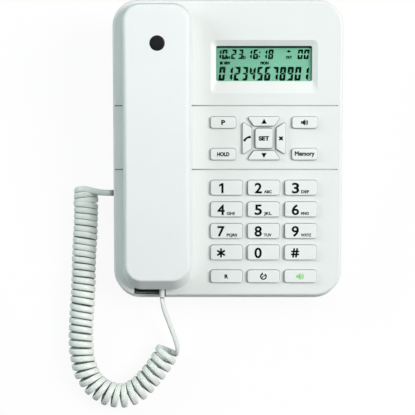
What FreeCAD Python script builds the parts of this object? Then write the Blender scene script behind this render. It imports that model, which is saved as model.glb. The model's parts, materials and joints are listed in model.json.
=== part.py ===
import FreeCAD, Part
import math
import os
import re
import Sketcher

# A corded desk telephone in millimetres.
# X points right, Y to the back, Z up, and the feet stand on Z = 0 below the middle of the base.
# The sloping face has its own frame: u right, v up the slope, n out of the face.

doc = FreeCAD.newDocument("corded_phone")

DIMENSIONS = {
    # base housing
    "base_width": "161",
    "base_length": "205.8",
    "base_corner": "18",
    "face_height": "42",
    "face_tilt": "10",
    "rim_round": "2",
    "front_lean": "1.2",
    "base_round": "1.6",
    "wall": "2.2",
    "foot_lift": "2",
    "split_height": "10",
    "lip_height": "2",
    "lip_wall": "1.2",
    "seam_height": "0.6",
    "seam_depth": "0.5",
    "fit_gap": "0.25",
    "groove_width": "0.8",
    "groove_depth": "0.7",
    "groove_upper_share": "0.475",
    "groove_lower_share": "0.526",
    "groove_left_inset": "1.4",
    "groove_right_inset": "3.6",
    "notch_u": "-55.1",
    "notch_width": "22.4",
    "notch_depth": "11",
    "notch_reach": "10.9",
    "microphone_hole": "1.6",
    # display
    "panel_u": "25.3",
    "display_rear": "44.288",
    "display_width": "67.2",
    "display_height": "24.5",
    "display_corner": "1.4",
    "funnel_rear": "46.588",
    "funnel_width": "74.7",
    "funnel_height": "37.1",
    "funnel_corner": "3.6",
    "funnel_depth": "2.2",
    "frame_wall": "2",
    "sill_thick": "0.8",
    "lens_thick": "1.2",
    "lens_margin": "1.8",
    "display_margin": "4.2",
    # keys
    "dial_width": "22.6",
    "dial_height": "10.5",
    "dial_pitch_u": "26.15",
    "dial_pitch_v": "15.3",
    "dial_front": "77.888",
    "lower_height": "8.9",
    "lower_front": "14.988",
    "function_width": "17.8",
    "function_height": "8.1",
    "function_spread": "28.55",
    "function_rise": "11.1",
    "nav_v": "8.1",
    "nav_outer_width": "23.4",
    "nav_inner_width": "14.6",
    "nav_inner": "8.6",
    "nav_outer": "15.1",
    "nav_corner": "1",
    "nav_flange": "0.45",
    "set_width": "12.3",
    "set_height": "14",
    "key_corner": "1.8",
    "key_round": "0.7",
    "key_proud": "2",
    "key_gap": "0.25",
    "key_slack": "0.2",
    "flange_margin": "0.8",
    "flange_thick": "1.2",
    "contact_gap": "0.05",
    # circuit board and key mat
    "board_depth": "8",
    "board_thick": "1.6",
    "board_width": "79.5",
    "board_front": "8.488",
    "board_rear": "25.488",
    "mat_thick": "1.2",
    "mat_margin": "0.8",
    "mat_inset": "1",
    "dome_low_radius": "2.9",
    "dome_top_radius": "2.2",
    "board_boss_radius": "2.5",
    "board_screw_radius": "1",
    "board_boss_front": "23.438",
    "board_boss_upper_spread": "31.5",
    "board_boss_lower_spread": "13.1",
    "pilot_gap": "0.05",
    # housing screws and feet
    "boss_radius": "4",
    "screw_radius": "1.5",
    "screw_length": "10",
    "screw_head_radius": "3",
    "screw_head_height": "2.2",
    "screw_recess": "4",
    "boss_right_gap": "45.2",
    "boss_right_end": "14.9",
    "boss_rear_left_x": "-50",
    "boss_rear_left_gap": "10.25",
    "boss_front_left_x": "-66",
    "boss_front_left_gap": "1.75",
    "foot_radius": "6",
    "foot_seat": "0.8",
    "foot_side": "22.5",
    "foot_end": "22.9",
    # handset and its cradle
    "handset_u": "-49.3",
    "handset_v": "1.75",
    "handset_width": "48",
    "handset_end_gap": "3.15",
    "handset_corner": "13",
    "handset_part": "6",
    "handset_top": "18",
    "handset_crown": "3.5",
    "handset_face_width": "43.2",
    "handset_face_inset": "13.7",
    "handset_face_shift": "4.65",
    "handset_face_corner": "11",
    "handset_round": "2.4",
    "handset_wall": "2",
    "cup_depth": "12",
    "cup_width": "41",
    "cup_inset": "10",
    "cup_shift": "-2.5",
    "cup_corner": "12",
    "arch_v": "0.75",
    "cup_end": "43.75",
    "arch_rise": "7",
    "cradle_gap": "0.6",
    "cradle_wall": "2",
    "saddle_inset": "5",
    "saddle_rise": "4.6",
    "saddle_under_inset": "7",
    "earpiece_end": "25.5",
    "earpiece_radius": "14",
    "earpiece_height": "7",
    "ear_hole_radius": "1",
    "ear_hole_ring": "6.5",
    "mouthpiece_end": "26",
    "mouthpiece_radius": "4.85",
    "mouthpiece_height": "5",
    "mouth_hole_radius": "0.8",
    "mouth_hole_pitch": "3",
    "weight_end_gap": "9.5",
    "weight_width": "16",
    "weight_height": "6",
    "handset_boss_radius": "3.5",
    "handset_screw_radius": "1.15",
    "handset_screw_head": "2.4",
    "handset_screw_head_height": "1.8",
    "handset_screw_length": "10",
    "handset_screw_seat": "1",
    "handset_screw_inset": "8",
    # jacks and plugs of the curly cord
    "plug_width": "7.6",
    "plug_height": "5.9",
    "plug_length": "11",
    "plug_gap": "0.15",
    "jack_width": "11",
    "jack_height": "10.4",
    "jack_length": "14",
    "jack_recess": "0.5",
    "jack_gap": "0.2",
    "jack_rear_wall": "1.5",
    "handset_jack_u": "-46.6",
    "handset_jack_n": "0.6",
    "handset_jack_inset": "1.6",
    "base_jack_y": "-28",
    "base_jack_low": "11",
    "boot_length": "8",
    "boot_radius": "2.2",
    "boot_tip_radius": "1.8",
    "cord_gap": "0.3",
    "cord_diameter": "3.4",
    "coil_diameter": "17.6",
    # line jack
    "line_x": "20",
    "line_width": "13",
    "line_height": "12",
    "line_length": "15",
    "line_socket_width": "9.8",
    "line_socket_height": "6.8",
    "line_socket_depth": "12",
    "latch_width": "4.4",
    "latch_depth": "2.2",
    # hook switch
    "hook_width": "12",
    "hook_thick": "5",
    "hook_travel": "4",
    "hook_gap": "0.3",
    "hook_flange": "2",
    "hook_flange_thick": "1.5",
    "hook_pad": "1.6",
    "hook_stem_radius": "1.5",
    "hook_switch_height": "7",
    "hook_switch_width": "12",
    "hook_switch_thick": "9",
    "hook_pedestal": "5",
    "hook_stem_rest": "1.6",
    "spring_radius": "3",
    "spring_wire": "0.35",
    "spring_turns": "5",
    # loudspeaker
    "speaker_x": "40",
    "speaker_y": "-38",
    "speaker_radius": "25",
    "speaker_height": "14",
    "speaker_frame": "3",
    "speaker_magnet_radius": "13",
    "speaker_ring_height": "5",
    "grille_width": "2",
    "grille_pitch": "5",
    "grille_count": "7",
    # wall keyholes
    "keyhole_y": "18",
    "keyhole_spacing": "83",
    "keyhole_radius": "4.5",
    "keyhole_slot_width": "4.6",
    "keyhole_slot_length": "10",
    "keyhole_depth": "6",
    "keyhole_margin": "1.4",
    # battery compartment
    "battery_x": "39",
    "battery_y": "40",
    "cell_radius": "5.25",
    "cell_length": "44.5",
    "cell_pitch": "11.3",
    "cell_count": "3",
    "cell_gap": "0.5",
    "contact_length": "2.4",
    "contact_plate": "0.6",
    "contact_radius": "3.4",
    "door_thick": "2.4",
    "door_gap": "0.3",
    "hinge_pin_radius": "0.7",
    "hinge_pin_length": "1.4",
    "hinge_pin_gap": "0.1",
    "microphone_radius": "3",
    "microphone_height": "5",
}

FORMULAS = {
    "half_width": "base_width / 2",
    "half_length": "base_length / 2",
    "face_half": "half_length / cos(face_tilt)",
    "dial_first_v": "dial_front - face_half",
    "lower_v": "lower_front - face_half",
    "display_v": "face_half - display_rear",
    "funnel_v": "face_half - funnel_rear",
    "function_top": "nav_v + function_rise + function_height / 2",
    "funnel_foot": "funnel_v - funnel_height / 2",
    "dial_top": "dial_first_v + dial_height / 2",
    "nav_foot": "nav_v - nav_outer",
    "groove_upper_v": "function_top + groove_upper_share * (funnel_foot - function_top)",
    "groove_lower_v": "dial_top + groove_lower_share * (nav_foot - dial_top)",
    "board_front_v": "board_front - face_half",
    "board_back_v": "face_half - board_rear",
    "board_boss_upper_v": "function_top + flange_margin + board_boss_radius + fit_gap",
    "board_boss_lower_v": "board_boss_front - face_half",
    "mat_back_v": "nav_v + nav_outer + mat_margin",
    "boss_right_x": "panel_u + boss_right_gap",
    "boss_right_y": "half_length - boss_right_end",
    "foot_x": "half_width - foot_side",
    "foot_y": "half_length - foot_end",
    "handset_length": "base_length - 2 * handset_end_gap",
    "handset_face_length": "handset_length - handset_face_inset",
    "handset_rear_v": "handset_v + handset_length / 2",
    "handset_front_v": "handset_v - handset_length / 2",
    "cup_length": "handset_length - cup_inset",
    "arch_half": "handset_length / 2 - cup_end",
    "saddle_half": "arch_half - saddle_inset",
    "saddle_under_half": "arch_half - saddle_under_inset",
    "earpiece_v": "handset_rear_v - earpiece_end",
    "mouthpiece_v": "handset_front_v + mouthpiece_end",
    "handset_screw_spread": "arch_half - handset_screw_inset",
    "boss_rear_left_y": "arch_v + saddle_under_half + boss_rear_left_gap",
    "boss_front_left_y": "arch_v - saddle_under_half - boss_front_left_gap",
    "handset_jack_front_v": "handset_front_v + handset_jack_inset",
    "boot_tip_v": "handset_jack_front_v - boot_length - cord_gap",
    "floor_top": "foot_lift + wall",
    "flange_top": "-wall - key_slack",
    "flange_low": "flange_top - flange_thick",
    "dome_top": "flange_low - contact_gap",
    "mat_top": "mat_thick - board_depth",
    "sill_low": "-funnel_depth - sill_thick",
    "lens_low": "sill_low - lens_thick",
    "display_thick": "board_depth + lens_low",
    "frame_low": "lens_low",
    "cup_level": "-cup_depth",
    "well_level": "-cup_depth - cradle_gap",
    "tub_level": "-cup_depth - cradle_gap - cradle_wall",
    "grip_level": "arch_rise - cup_depth",
    "arch_radius": "(arch_half ^ 2 + arch_rise ^ 2) / (2 * arch_rise)",
    "boss_reach": "handset_screw_spread - handset_boss_radius",
    "boss_drop": "arch_radius - sqrt(arch_radius ^ 2 - boss_reach ^ 2)",
    "weight_length": "2 * (boss_reach - weight_end_gap)",
    "crown_reach": "handset_length / 2 + handset_round",
    "crown_radius": "(crown_reach ^ 2 + handset_crown ^ 2) / (2 * handset_crown)",
    "crown_drop": "crown_radius - sqrt(crown_radius ^ 2 - handset_screw_spread ^ 2)",
    "front_boss_top": "handset_top - crown_drop - handset_wall / 2",
    "back_boss_foot": "grip_level - boss_drop + fit_gap",
    "saddle_level": "well_level + saddle_rise",
    "pad_level": "saddle_level - cradle_wall - hook_pad",
    "hook_flange_top": "pad_level - hook_travel - hook_gap",
    "hook_flange_low": "hook_flange_top - hook_flange_thick",
    "hook_floor": "(floor_top - face_height - arch_v * sin(face_tilt)) / cos(face_tilt)",
    "switch_low": "hook_floor + hook_pedestal",
    "switch_top": "switch_low + hook_switch_height",
    "stem_low": "switch_low + hook_stem_rest",
    "jack_axis_z": "base_jack_low + jack_height / 2",
    "boss_shoulder": "foot_lift + screw_recess",
    "cells_width": "cell_pitch * (cell_count - 1) + 2 * cell_radius + 2 * cell_gap",
    "cells_length": "cell_length + contact_length + 2 * contact_plate + cell_gap",
    "door_top": "foot_lift + door_thick",
    "cell_axis_z": "door_top + cell_gap + cell_radius",
    "cell_roof": "cell_axis_z + cell_radius + cell_gap",
    "hinge_y": "battery_y - cells_width / 2 + door_thick / 2 + door_gap",
    "hinge_z": "foot_lift + door_thick / 2",
    "nav_slope": "(nav_outer_width - nav_inner_width) / 2 / (nav_outer - nav_inner)",
    "nav_skew": "sqrt(1 + nav_slope ^ 2)",
    "board_length": "board_back_v - board_front_v",
    "board_v": "(board_back_v + board_front_v) / 2",
    "microphone_z": "split_height + lip_height + microphone_radius + fit_gap",
}

dims = doc.addObject("Spreadsheet::Sheet", "dims")
for row, (alias, size) in enumerate(DIMENSIONS.items(), 1):
    dims.set(f"A{row}", alias)
    dims.set(f"B{row}", size)
    dims.setAlias(f"B{row}", alias)
doc.recompute()


# Expressions, numbers and places

def expand(text):
    def swap(match):
        word = match.group(0)
        if word in FORMULAS:
            return "(" + expand(FORMULAS[word]) + ")"
        if word in DIMENSIONS:
            return "dims." + word
        return word
    return re.sub(r"[a-z_][a-z_0-9]*", swap, text)


def number(text):
    return float(dims.evalExpression(expand(text)))


def bind(thing, **sizes):
    for name, text in sizes.items():
        thing.setExpression(name, expand(text))


FACE = "placement(vector(0; 0; face_height); rotation(vector(1; 0; 0); face_tilt))"
TURNS = {
    "none": "rotation(vector(0; 0; 1); 0)",
    "back": "rotation(vector(1; 0; 0); -90)",
    "front": "rotation(vector(1; 0; 0); 90)",
    "right": "rotation(vector(0; 1; 0); 90)",
}


def place(thing, x="0", y="0", z="0", face=False, turn="none"):
    spot = f"placement(vector({x}; {y}; {z}); {TURNS.get(turn, turn)})"
    bind(thing, Placement=f"{FACE} * {spot}" if face else spot)
    return thing


def face_plane_z(y, level):
    return f"face_height + ({y}) * tan(face_tilt) + ({level}) / cos(face_tilt)"


# Primitives centred on x and y, with z at their foot

def box(name, length, width, height, x="0", y="0", z="0", face=False):
    block = doc.addObject("Part::Box", name)
    bind(block, Length=length, Width=width, Height=height)
    return place(block, f"{x} - ({length}) / 2", f"{y} - ({width}) / 2", z, face)


def cylinder(name, radius, height, x="0", y="0", z="0", face=False, turn="none"):
    rod = doc.addObject("Part::Cylinder", name)
    bind(rod, Radius=radius, Height=height)
    return place(rod, x, y, z, face, turn)


def cone(name, radius1, radius2, height, x="0", y="0", z="0", face=False, turn="none"):
    taper = doc.addObject("Part::Cone", name)
    bind(taper, Radius1=radius1, Radius2=radius2, Height=height)
    return place(taper, x, y, z, face, turn)


def cut(name, base, *tools):
    result = doc.addObject("Part::Cut", name)
    result.Base = base
    result.Tool = tools[0] if len(tools) == 1 else fuse(name + "_tools", *tools)
    return result


def fuse(name, *pieces):
    result = doc.addObject("Part::MultiFuse", name)
    result.Shapes = list(pieces)
    return result


def group(name, *pieces):
    result = doc.addObject("Part::Compound", name)
    result.Links = list(pieces)
    return result


# Bodies with sketches

def new_body(name, x="0", y="0", z="0", face=False, turn="none"):
    return place(doc.addObject("PartDesign::Body", name), x, y, z, face, turn)


def new_sketch(body, name, role="XY_Plane", level="0"):
    sketch = body.newObject("Sketcher::SketchObject", name)
    origin = [plane for plane in body.Origin.OriginFeatures if plane.Role == role]
    sketch.AttachmentSupport = [(origin[0], "")]
    sketch.MapMode = "FlatFace"
    bind(sketch, AttachmentOffset=f"placement(vector(0; 0; {level}); {TURNS['none']})")
    return sketch


def fix(sketch, kind, *target):
    text = target[-1]
    index = sketch.addConstraint(Sketcher.Constraint(kind, *target[:-1], number(text)))
    sketch.setExpression(f"Constraints[{index}]", expand(text))


def rounded_sketch(body, name, width, depth, radius, x="0", y="0", level="0"):
    sketch = new_sketch(body, name, "XY_Plane", level)
    left, right = number(f"{x} - ({width}) / 2"), number(f"{x} + ({width}) / 2")
    low, high = number(f"{y} - ({depth}) / 2"), number(f"{y} + ({depth}) / 2")
    bend = number(radius)
    centres = [(right - bend, low + bend), (right - bend, high - bend),
               (left + bend, high - bend), (left + bend, low + bend)]
    corners = []
    for turn, (cx, cy) in enumerate(centres):
        circle = Part.Circle(FreeCAD.Vector(cx, cy, 0), FreeCAD.Vector(0, 0, 1), bend)
        start = (turn - 1) * math.pi / 2
        corners.append(Part.ArcOfCircle(circle, start, start + math.pi / 2))
    for index in range(4):
        sketch.addGeometry(corners[index])
        following = corners[(index + 1) % 4]
        sketch.addGeometry(Part.LineSegment(corners[index].EndPoint, following.StartPoint))
    for index in range(8):
        sketch.addConstraint(Sketcher.Constraint("Tangent", index, 2, (index + 1) % 8, 1))
    for line in (1, 5):
        sketch.addConstraint(Sketcher.Constraint("Vertical", line))
    for line in (3, 7):
        sketch.addConstraint(Sketcher.Constraint("Horizontal", line))
    for arc in (2, 4, 6):
        sketch.addConstraint(Sketcher.Constraint("Equal", 0, arc))
    fix(sketch, "Radius", 0, radius)
    fix(sketch, "DistanceX", -1, 1, 1, 1, f"{x} + ({width}) / 2")
    fix(sketch, "DistanceX", -1, 1, 5, 1, f"{x} - ({width}) / 2")
    fix(sketch, "DistanceY", -1, 1, 3, 1, f"{y} + ({depth}) / 2")
    fix(sketch, "DistanceY", -1, 1, 7, 1, f"{y} - ({depth}) / 2")
    return sketch


def profile_sketch(body, name, role, corners, level="0", crown=None):
    # Straight sides between the corners. The side after the last corner may be an arc, whose
    # radius is the crown: the arc runs clockwise back to the first corner.
    sketch = new_sketch(body, name, role, level)
    points = [FreeCAD.Vector(number(x), number(y), 0) for x, y in corners]
    count = len(points)
    starts = [1] * count
    for index in range(count):
        first, second = points[index], points[(index + 1) % count]
        if crown is None or index < count - 1:
            sketch.addGeometry(Part.LineSegment(first, second))
            continue
        radius = number(crown)
        chord = second - first
        side = FreeCAD.Vector(chord.y, -chord.x, 0).normalize()
        centre = (first + second) * 0.5 + side * math.sqrt(radius ** 2 - chord.Length ** 2 / 4)
        circle = Part.Circle(centre, FreeCAD.Vector(0, 0, 1), radius)
        angles = [math.atan2(p.y - centre.y, p.x - centre.x) for p in (second, first)]
        sketch.addGeometry(Part.ArcOfCircle(circle, *angles))
        starts[index] = 2
    for index in range(count):
        after = (index + 1) % count
        joint = Sketcher.Constraint("Coincident", index, 3 - starts[index], after, starts[after])
        sketch.addConstraint(joint)
    for index, (x, y) in enumerate(corners):
        fix(sketch, "DistanceX", -1, 1, index, starts[index], x)
        fix(sketch, "DistanceY", -1, 1, index, starts[index], y)
    if crown is not None:
        fix(sketch, "Radius", count - 1, crown)
    return sketch


def feature(body, kind, name, profile, length, symmetric=False):
    step = body.newObject(f"PartDesign::{kind}", name)
    step.Profile = profile
    bind(step, Length=length)
    if symmetric:
        step.SideType = "Symmetric"
    return step


def fillet(body, name, base, edges, radius):
    doc.recompute()
    step = body.newObject("PartDesign::Fillet", name)
    step.Base = (base, edges(base.Shape))
    bind(step, Radius=radius)
    return step


def upright_edges(shape):
    names = []
    for index, edge in enumerate(shape.Edges, 1):
        run = edge.BoundBox
        if run.ZLength > max(run.XLength, run.YLength) * 5:
            names.append(f"Edge{index}")
    return names


def top_face(shape):
    heights = [face.CenterOfMass.z for face in shape.Faces]
    return [f"Face{heights.index(max(heights)) + 1}"]


def low_face(shape):
    heights = [face.CenterOfMass.z for face in shape.Faces]
    return [f"Face{heights.index(min(heights)) + 1}"]


def slab(name, width, depth, radius, low, high, x="0", y="0", face=False):
    body = new_body(name, face=face)
    outline = rounded_sketch(body, name + "_outline", width, depth, radius, x, y, low)
    feature(body, "Pad", name + "_pad", outline, f"({high}) - ({low})")
    return body


NODES = []


def keep(node, thing):
    thing.Label = node
    NODES.append(thing)
    return thing


# Forms that several pieces share

def seam_ring(name, width, length, corner, level, x="0", y="0", face=False):
    # The shallow groove where two shells meet, cut into the lower one.
    outer = slab(name + "_outer", f"{width} + 2 * wall", f"{length} + 2 * wall", f"{corner} + wall",
                 f"{level} - seam_height", f"{level} + wall", x, y, face)
    inner = slab(name + "_inner", f"{width} - 2 * seam_depth", f"{length} - 2 * seam_depth",
                 f"{corner} - seam_depth", f"{level} - wall", f"{level} + 2 * wall", x, y, face)
    return cut(name, outer, inner)


def wedge_form(name, inset, top_inset, low, lean, round_rim):
    # The sloping block of the base, seen from the side, with upright rounded corners. Its front
    # leans back from the foot.
    body = new_body(name)
    reach = f"half_length - ({inset})"
    side = profile_sketch(body, name + "_side", "YZ_Plane", [
        (f"-({reach})", low),
        (reach, low),
        (reach, face_plane_z(reach, f"-({top_inset})")),
        (f"{lean} - ({reach})", face_plane_z(f"{lean} - ({reach})", f"-({top_inset})")),
    ])
    block = feature(body, "Pad", name + "_pad", side, f"base_width - 2 * ({inset})", True)
    corner = f"base_corner - ({inset})"
    block = fillet(body, name + "_corners", block, upright_edges, corner)
    if round_rim:
        fillet(body, name + "_rim", block, top_face, "rim_round")
    return body


def arc_radius(half, rise):
    return f"(({half}) ^ 2 + ({rise}) ^ 2) / (2 * ({rise}))"


def back_form(name, grow, depth, half, rise):
    # The lower half of the handset: a tapered trough whose underside is arched between the cups.
    body = new_body(name, "handset_u", "handset_v", "0", True)
    upper = rounded_sketch(body, name + "_upper", f"handset_width + 2 * ({grow})",
                           f"handset_length + 2 * ({grow})", f"handset_corner + ({grow})",
                           level="handset_part")
    lower = rounded_sketch(body, name + "_lower", f"cup_width + 2 * ({grow})",
                           f"cup_length + 2 * ({grow})", f"cup_corner + ({grow})",
                           y="cup_shift", level=f"-({depth})")
    loft = body.newObject("PartDesign::AdditiveLoft", name + "_loft")
    loft.Profile = upper
    loft.Sections = [lower]
    loft.Ruled = True
    middle = "arch_v - handset_v"
    arch = profile_sketch(body, name + "_arch", "YZ_Plane", [
        (f"{middle} + ({half})", f"-({depth})"),
        (f"{middle} + ({half})", f"-({depth}) - arch_rise"),
        (f"{middle} - ({half})", f"-({depth}) - arch_rise"),
        (f"{middle} - ({half})", f"-({depth})"),
    ], crown=arc_radius(half, rise))
    feature(body, "Pocket", name + "_hollow", arch, "2 * handset_width", True)
    return body


def front_form(name, inset, round_edge):
    # The upper half of the handset: tapered sides under a face that is crowned along its length.
    body = new_body(name, "handset_u", "handset_v", "0", True)
    lower = rounded_sketch(body, name + "_lower", f"handset_width - 2 * ({inset})",
                           f"handset_length - 2 * ({inset})", f"handset_corner - ({inset})",
                           level="handset_part")
    upper = rounded_sketch(body, name + "_upper", f"handset_face_width - 2 * ({inset})",
                           f"handset_face_length - 2 * ({inset})",
                           f"handset_face_corner - ({inset})",
                           y="handset_face_shift", level="handset_top + handset_round")
    loft = body.newObject("PartDesign::AdditiveLoft", name + "_loft")
    loft.Profile = lower
    loft.Sections = [upper]
    loft.Ruled = True
    reach = "crown_reach"
    edge = f"handset_top - ({inset}) - handset_crown"
    crown = profile_sketch(body, name + "_crown", "YZ_Plane", [
        (reach, edge),
        (reach, "2 * handset_top"),
        (f"-({reach})", "2 * handset_top"),
        (f"-({reach})", edge),
    ], crown=arc_radius(reach, "handset_crown"))
    top = feature(body, "Pocket", name + "_top", crown, "2 * handset_width", True)
    if round_edge:
        fillet(body, name + "_edge", top, top_face, "handset_round")
    return body


def nav_corners(margin):
    def half_width(radius):
        return (f"nav_inner_width / 2 + ({radius} - nav_inner) * nav_slope"
                f" + ({margin}) * nav_skew")
    far, near = f"nav_outer + ({margin})", f"nav_inner - ({margin})"
    return [(f"-({half_width(far)})", far), (f"-({half_width(near)})", near),
            (half_width(near), near), (half_width(far), far)]


# Places of the keys on the face: name, u, v, width and height

DIAL_ROWS = [["1", "2", "3"], ["4", "5", "6"], ["7", "8", "9"], ["star", "0", "hash"]]
KEYS = []
for row, names in enumerate(DIAL_ROWS):
    for column, name in enumerate(names):
        KEYS.append(("key_" + name, f"panel_u + {column - 1} * dial_pitch_u",
                     f"dial_first_v - {row} * dial_pitch_v", "dial_width", "dial_height"))
for column, name in enumerate(["flash", "redial", "speaker"]):
    KEYS.append(("key_" + name, f"panel_u + {column - 1} * dial_pitch_u",
                 "lower_v", "dial_width", "lower_height"))
for name, side, level in [("pause", -1, 1), ("hold", -1, -1), ("volume", 1, 1), ("memory", 1, -1)]:
    KEYS.append(("key_" + name, f"panel_u + {side} * function_spread",
                 f"nav_v + {level} * function_rise", "function_width", "function_height"))
KEYS.append(("key_set", "panel_u", "nav_v", "set_width", "set_height"))
NAV_KEYS = [("key_up", 0), ("key_call", 90), ("key_down", 180), ("key_delete", 270)]


def nav_body(name, degrees):
    return new_body(name, "panel_u", "nav_v", "0", True, f"rotation(vector(0; 0; 1); {degrees})")


def make_key(name, u, v, width, height):
    body = new_body(name, u, v, "0", True)
    rim = rounded_sketch(body, name + "_rim", f"{width} + 2 * flange_margin",
                         f"{height} + 2 * flange_margin", "key_corner", level="flange_low")
    feature(body, "Pad", name + "_flange", rim, "flange_thick")
    outline = rounded_sketch(body, name + "_outline", width, height, "key_corner",
                             level="flange_top")
    cap = feature(body, "Pad", name + "_cap", outline, "key_proud - flange_top")
    fillet(body, name + "_round", cap, top_face, "key_round")
    keep(name, body)
    return slab(name + "_hole", f"{width} + 2 * key_gap", f"{height} + 2 * key_gap",
                "key_corner + key_gap", "flange_top", "key_proud", u, v, True)


def make_nav_key(name, degrees):
    body = nav_body(name, degrees)
    rim = profile_sketch(body, name + "_rim", "XY_Plane", nav_corners("nav_flange"), "flange_low")
    feature(body, "Pad", name + "_flange", rim, "flange_thick")
    outline = profile_sketch(body, name + "_outline", "XY_Plane", nav_corners("0"), "flange_top")
    cap = feature(body, "Pad", name + "_cap", outline, "key_proud - flange_top")
    cap = fillet(body, name + "_corners", cap, upright_edges, "nav_corner")
    fillet(body, name + "_round", cap, top_face, "key_round")
    keep(name, body)
    hole = nav_body(name + "_hole", degrees)
    shape = profile_sketch(hole, name + "_hole_outline", "XY_Plane", nav_corners("key_gap"),
                           "flange_top")
    block = feature(hole, "Pad", name + "_hole_pad", shape, "key_proud - flange_top")
    fillet(hole, name + "_hole_corners", block, upright_edges, "nav_corner + key_gap")
    return hole


key_holes = [make_key(*key) for key in KEYS]
key_holes += [make_nav_key(*key) for key in NAV_KEYS]

# Screw places

BOARD_SCREWS = [(f"panel_u + {side} * board_boss_{level}_spread", f"board_boss_{level}_v")
                for level in ("upper", "lower") for side in (-1, 1)]
BASE_SCREWS = [
    ("boss_right_x", "-boss_right_y", "-wall / 2"),
    ("boss_right_x", "boss_right_y", "-wall / 2"),
    ("boss_rear_left_x", "boss_rear_left_y", "tub_level + cradle_wall / 2"),
    ("boss_front_left_x", "boss_front_left_y", "tub_level + cradle_wall / 2"),
]


# Upper half of the base housing

def make_top_cover():
    shell = cut("cover_shell",
                wedge_form("cover_outer", "0", "0", "split_height", "front_lean", True),
                wedge_form("cover_inner", "wall", "wall", "split_height - wall", "0", False))
    tub = cut("cradle_tub",
              back_form("cradle_under", "cradle_gap + cradle_wall", "-(tub_level)",
                        "saddle_under_half", "saddle_rise"),
              box("cradle_trim", "2 * base_width", "2 * base_length", "base_width",
                  z="-wall / 2", face=True))
    frame = slab("display_frame", "funnel_width + 2 * frame_wall", "funnel_height + 2 * frame_wall",
                 "funnel_corner + frame_wall", "frame_low", "-wall / 2", "panel_u", "funnel_v", True)
    hook_pad = box("hook_pad_block", "hook_width + 4 * hook_flange", "hook_thick + 4 * hook_flange",
                   "cradle_wall + hook_pad - wall / 2", "handset_u", "arch_v", "pad_level", True)
    additions = [shell, tub, frame, hook_pad]
    for index, (u, v) in enumerate(BOARD_SCREWS):
        additions.append(cylinder(f"board_boss_{index}", "board_boss_radius",
                                  "board_depth - wall / 2", u, v, "-board_depth", True))
    for index, (x, y, level) in enumerate(BASE_SCREWS):
        additions.append(cylinder(f"cover_boss_{index}", "boss_radius",
                                  f"{face_plane_z(y, level)} - split_height", x, y, "split_height"))

    pocket = back_form("cradle_pocket", "cradle_gap", "-(well_level)", "saddle_half", "saddle_rise")
    funnel = new_body("display_funnel", "panel_u", "0", "0", True)
    mouth = rounded_sketch(funnel, "funnel_mouth", "funnel_width", "funnel_height", "funnel_corner",
                           y="funnel_v")
    throat = rounded_sketch(funnel, "funnel_throat", "display_width", "display_height",
                            "display_corner", y="display_v", level="-funnel_depth")
    loft = funnel.newObject("PartDesign::AdditiveLoft", "funnel_loft")
    loft.Profile = mouth
    loft.Sections = [throat]
    loft.Ruled = True
    window = slab("display_opening", "display_width", "display_height", "display_corner",
                  "frame_low - wall", "-funnel_depth", "panel_u", "display_v", True)
    seat = slab("lens_seat", "display_width + 2 * lens_margin + 2 * fit_gap",
                "display_height + 2 * lens_margin + 2 * fit_gap", "display_corner",
                "frame_low - wall", "sill_low", "panel_u", "display_v", True)
    tools = [pocket, funnel, window, seat] + key_holes
    span = "base_width - groove_left_inset - groove_right_inset"
    middle = "(groove_left_inset - groove_right_inset) / 2"
    for level in ("upper", "lower"):
        tools.append(box(f"groove_{level}", span, "groove_width", "groove_depth + wall", middle,
                         f"groove_{level}_v", "-groove_depth", True))
    tools.append(box("cord_notch", "notch_width", "notch_reach + wall", "notch_depth + wall", "notch_u",
                     "(notch_reach - wall) / 2 - face_half", "-notch_depth", True))
    tools.append(box("hook_slot", "hook_width + 2 * hook_gap", "hook_thick + 2 * hook_gap",
                     "cup_depth", "handset_u", "arch_v", "pad_level - wall", True))
    tools.append(box("base_jack_opening", "3 * wall", "jack_width + 2 * jack_gap",
                     "jack_height + 2 * jack_gap", "-half_width", "base_jack_y",
                     "base_jack_low - jack_gap"))
    tools.append(box("line_jack_opening", "line_width + 2 * jack_gap", "3 * wall",
                     "line_height + 2 * jack_gap", "line_x", "half_length",
                     "base_jack_low - jack_gap"))
    tools.append(cylinder("microphone_port", "microphone_hole / 2", "3 * wall", "panel_u",
                          "-half_length - wall", "microphone_z", turn="back"))
    for index, (u, v) in enumerate(BOARD_SCREWS):
        tools.append(cylinder(f"board_pilot_{index}", "board_screw_radius + pilot_gap",
                              "board_depth - wall", u, v, "-board_depth - wall", True))
    for index, (x, y, level) in enumerate(BASE_SCREWS):
        tools.append(cylinder(f"cover_pilot_{index}", "screw_radius + pilot_gap",
                              "boss_shoulder + screw_length + pilot_gap - split_height + wall",
                              x, y, "split_height - wall"))
    keep("base_top_cover", cut("top_cover", fuse("top_cover_whole", *additions), *tools))


# Lower half of the base housing

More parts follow.
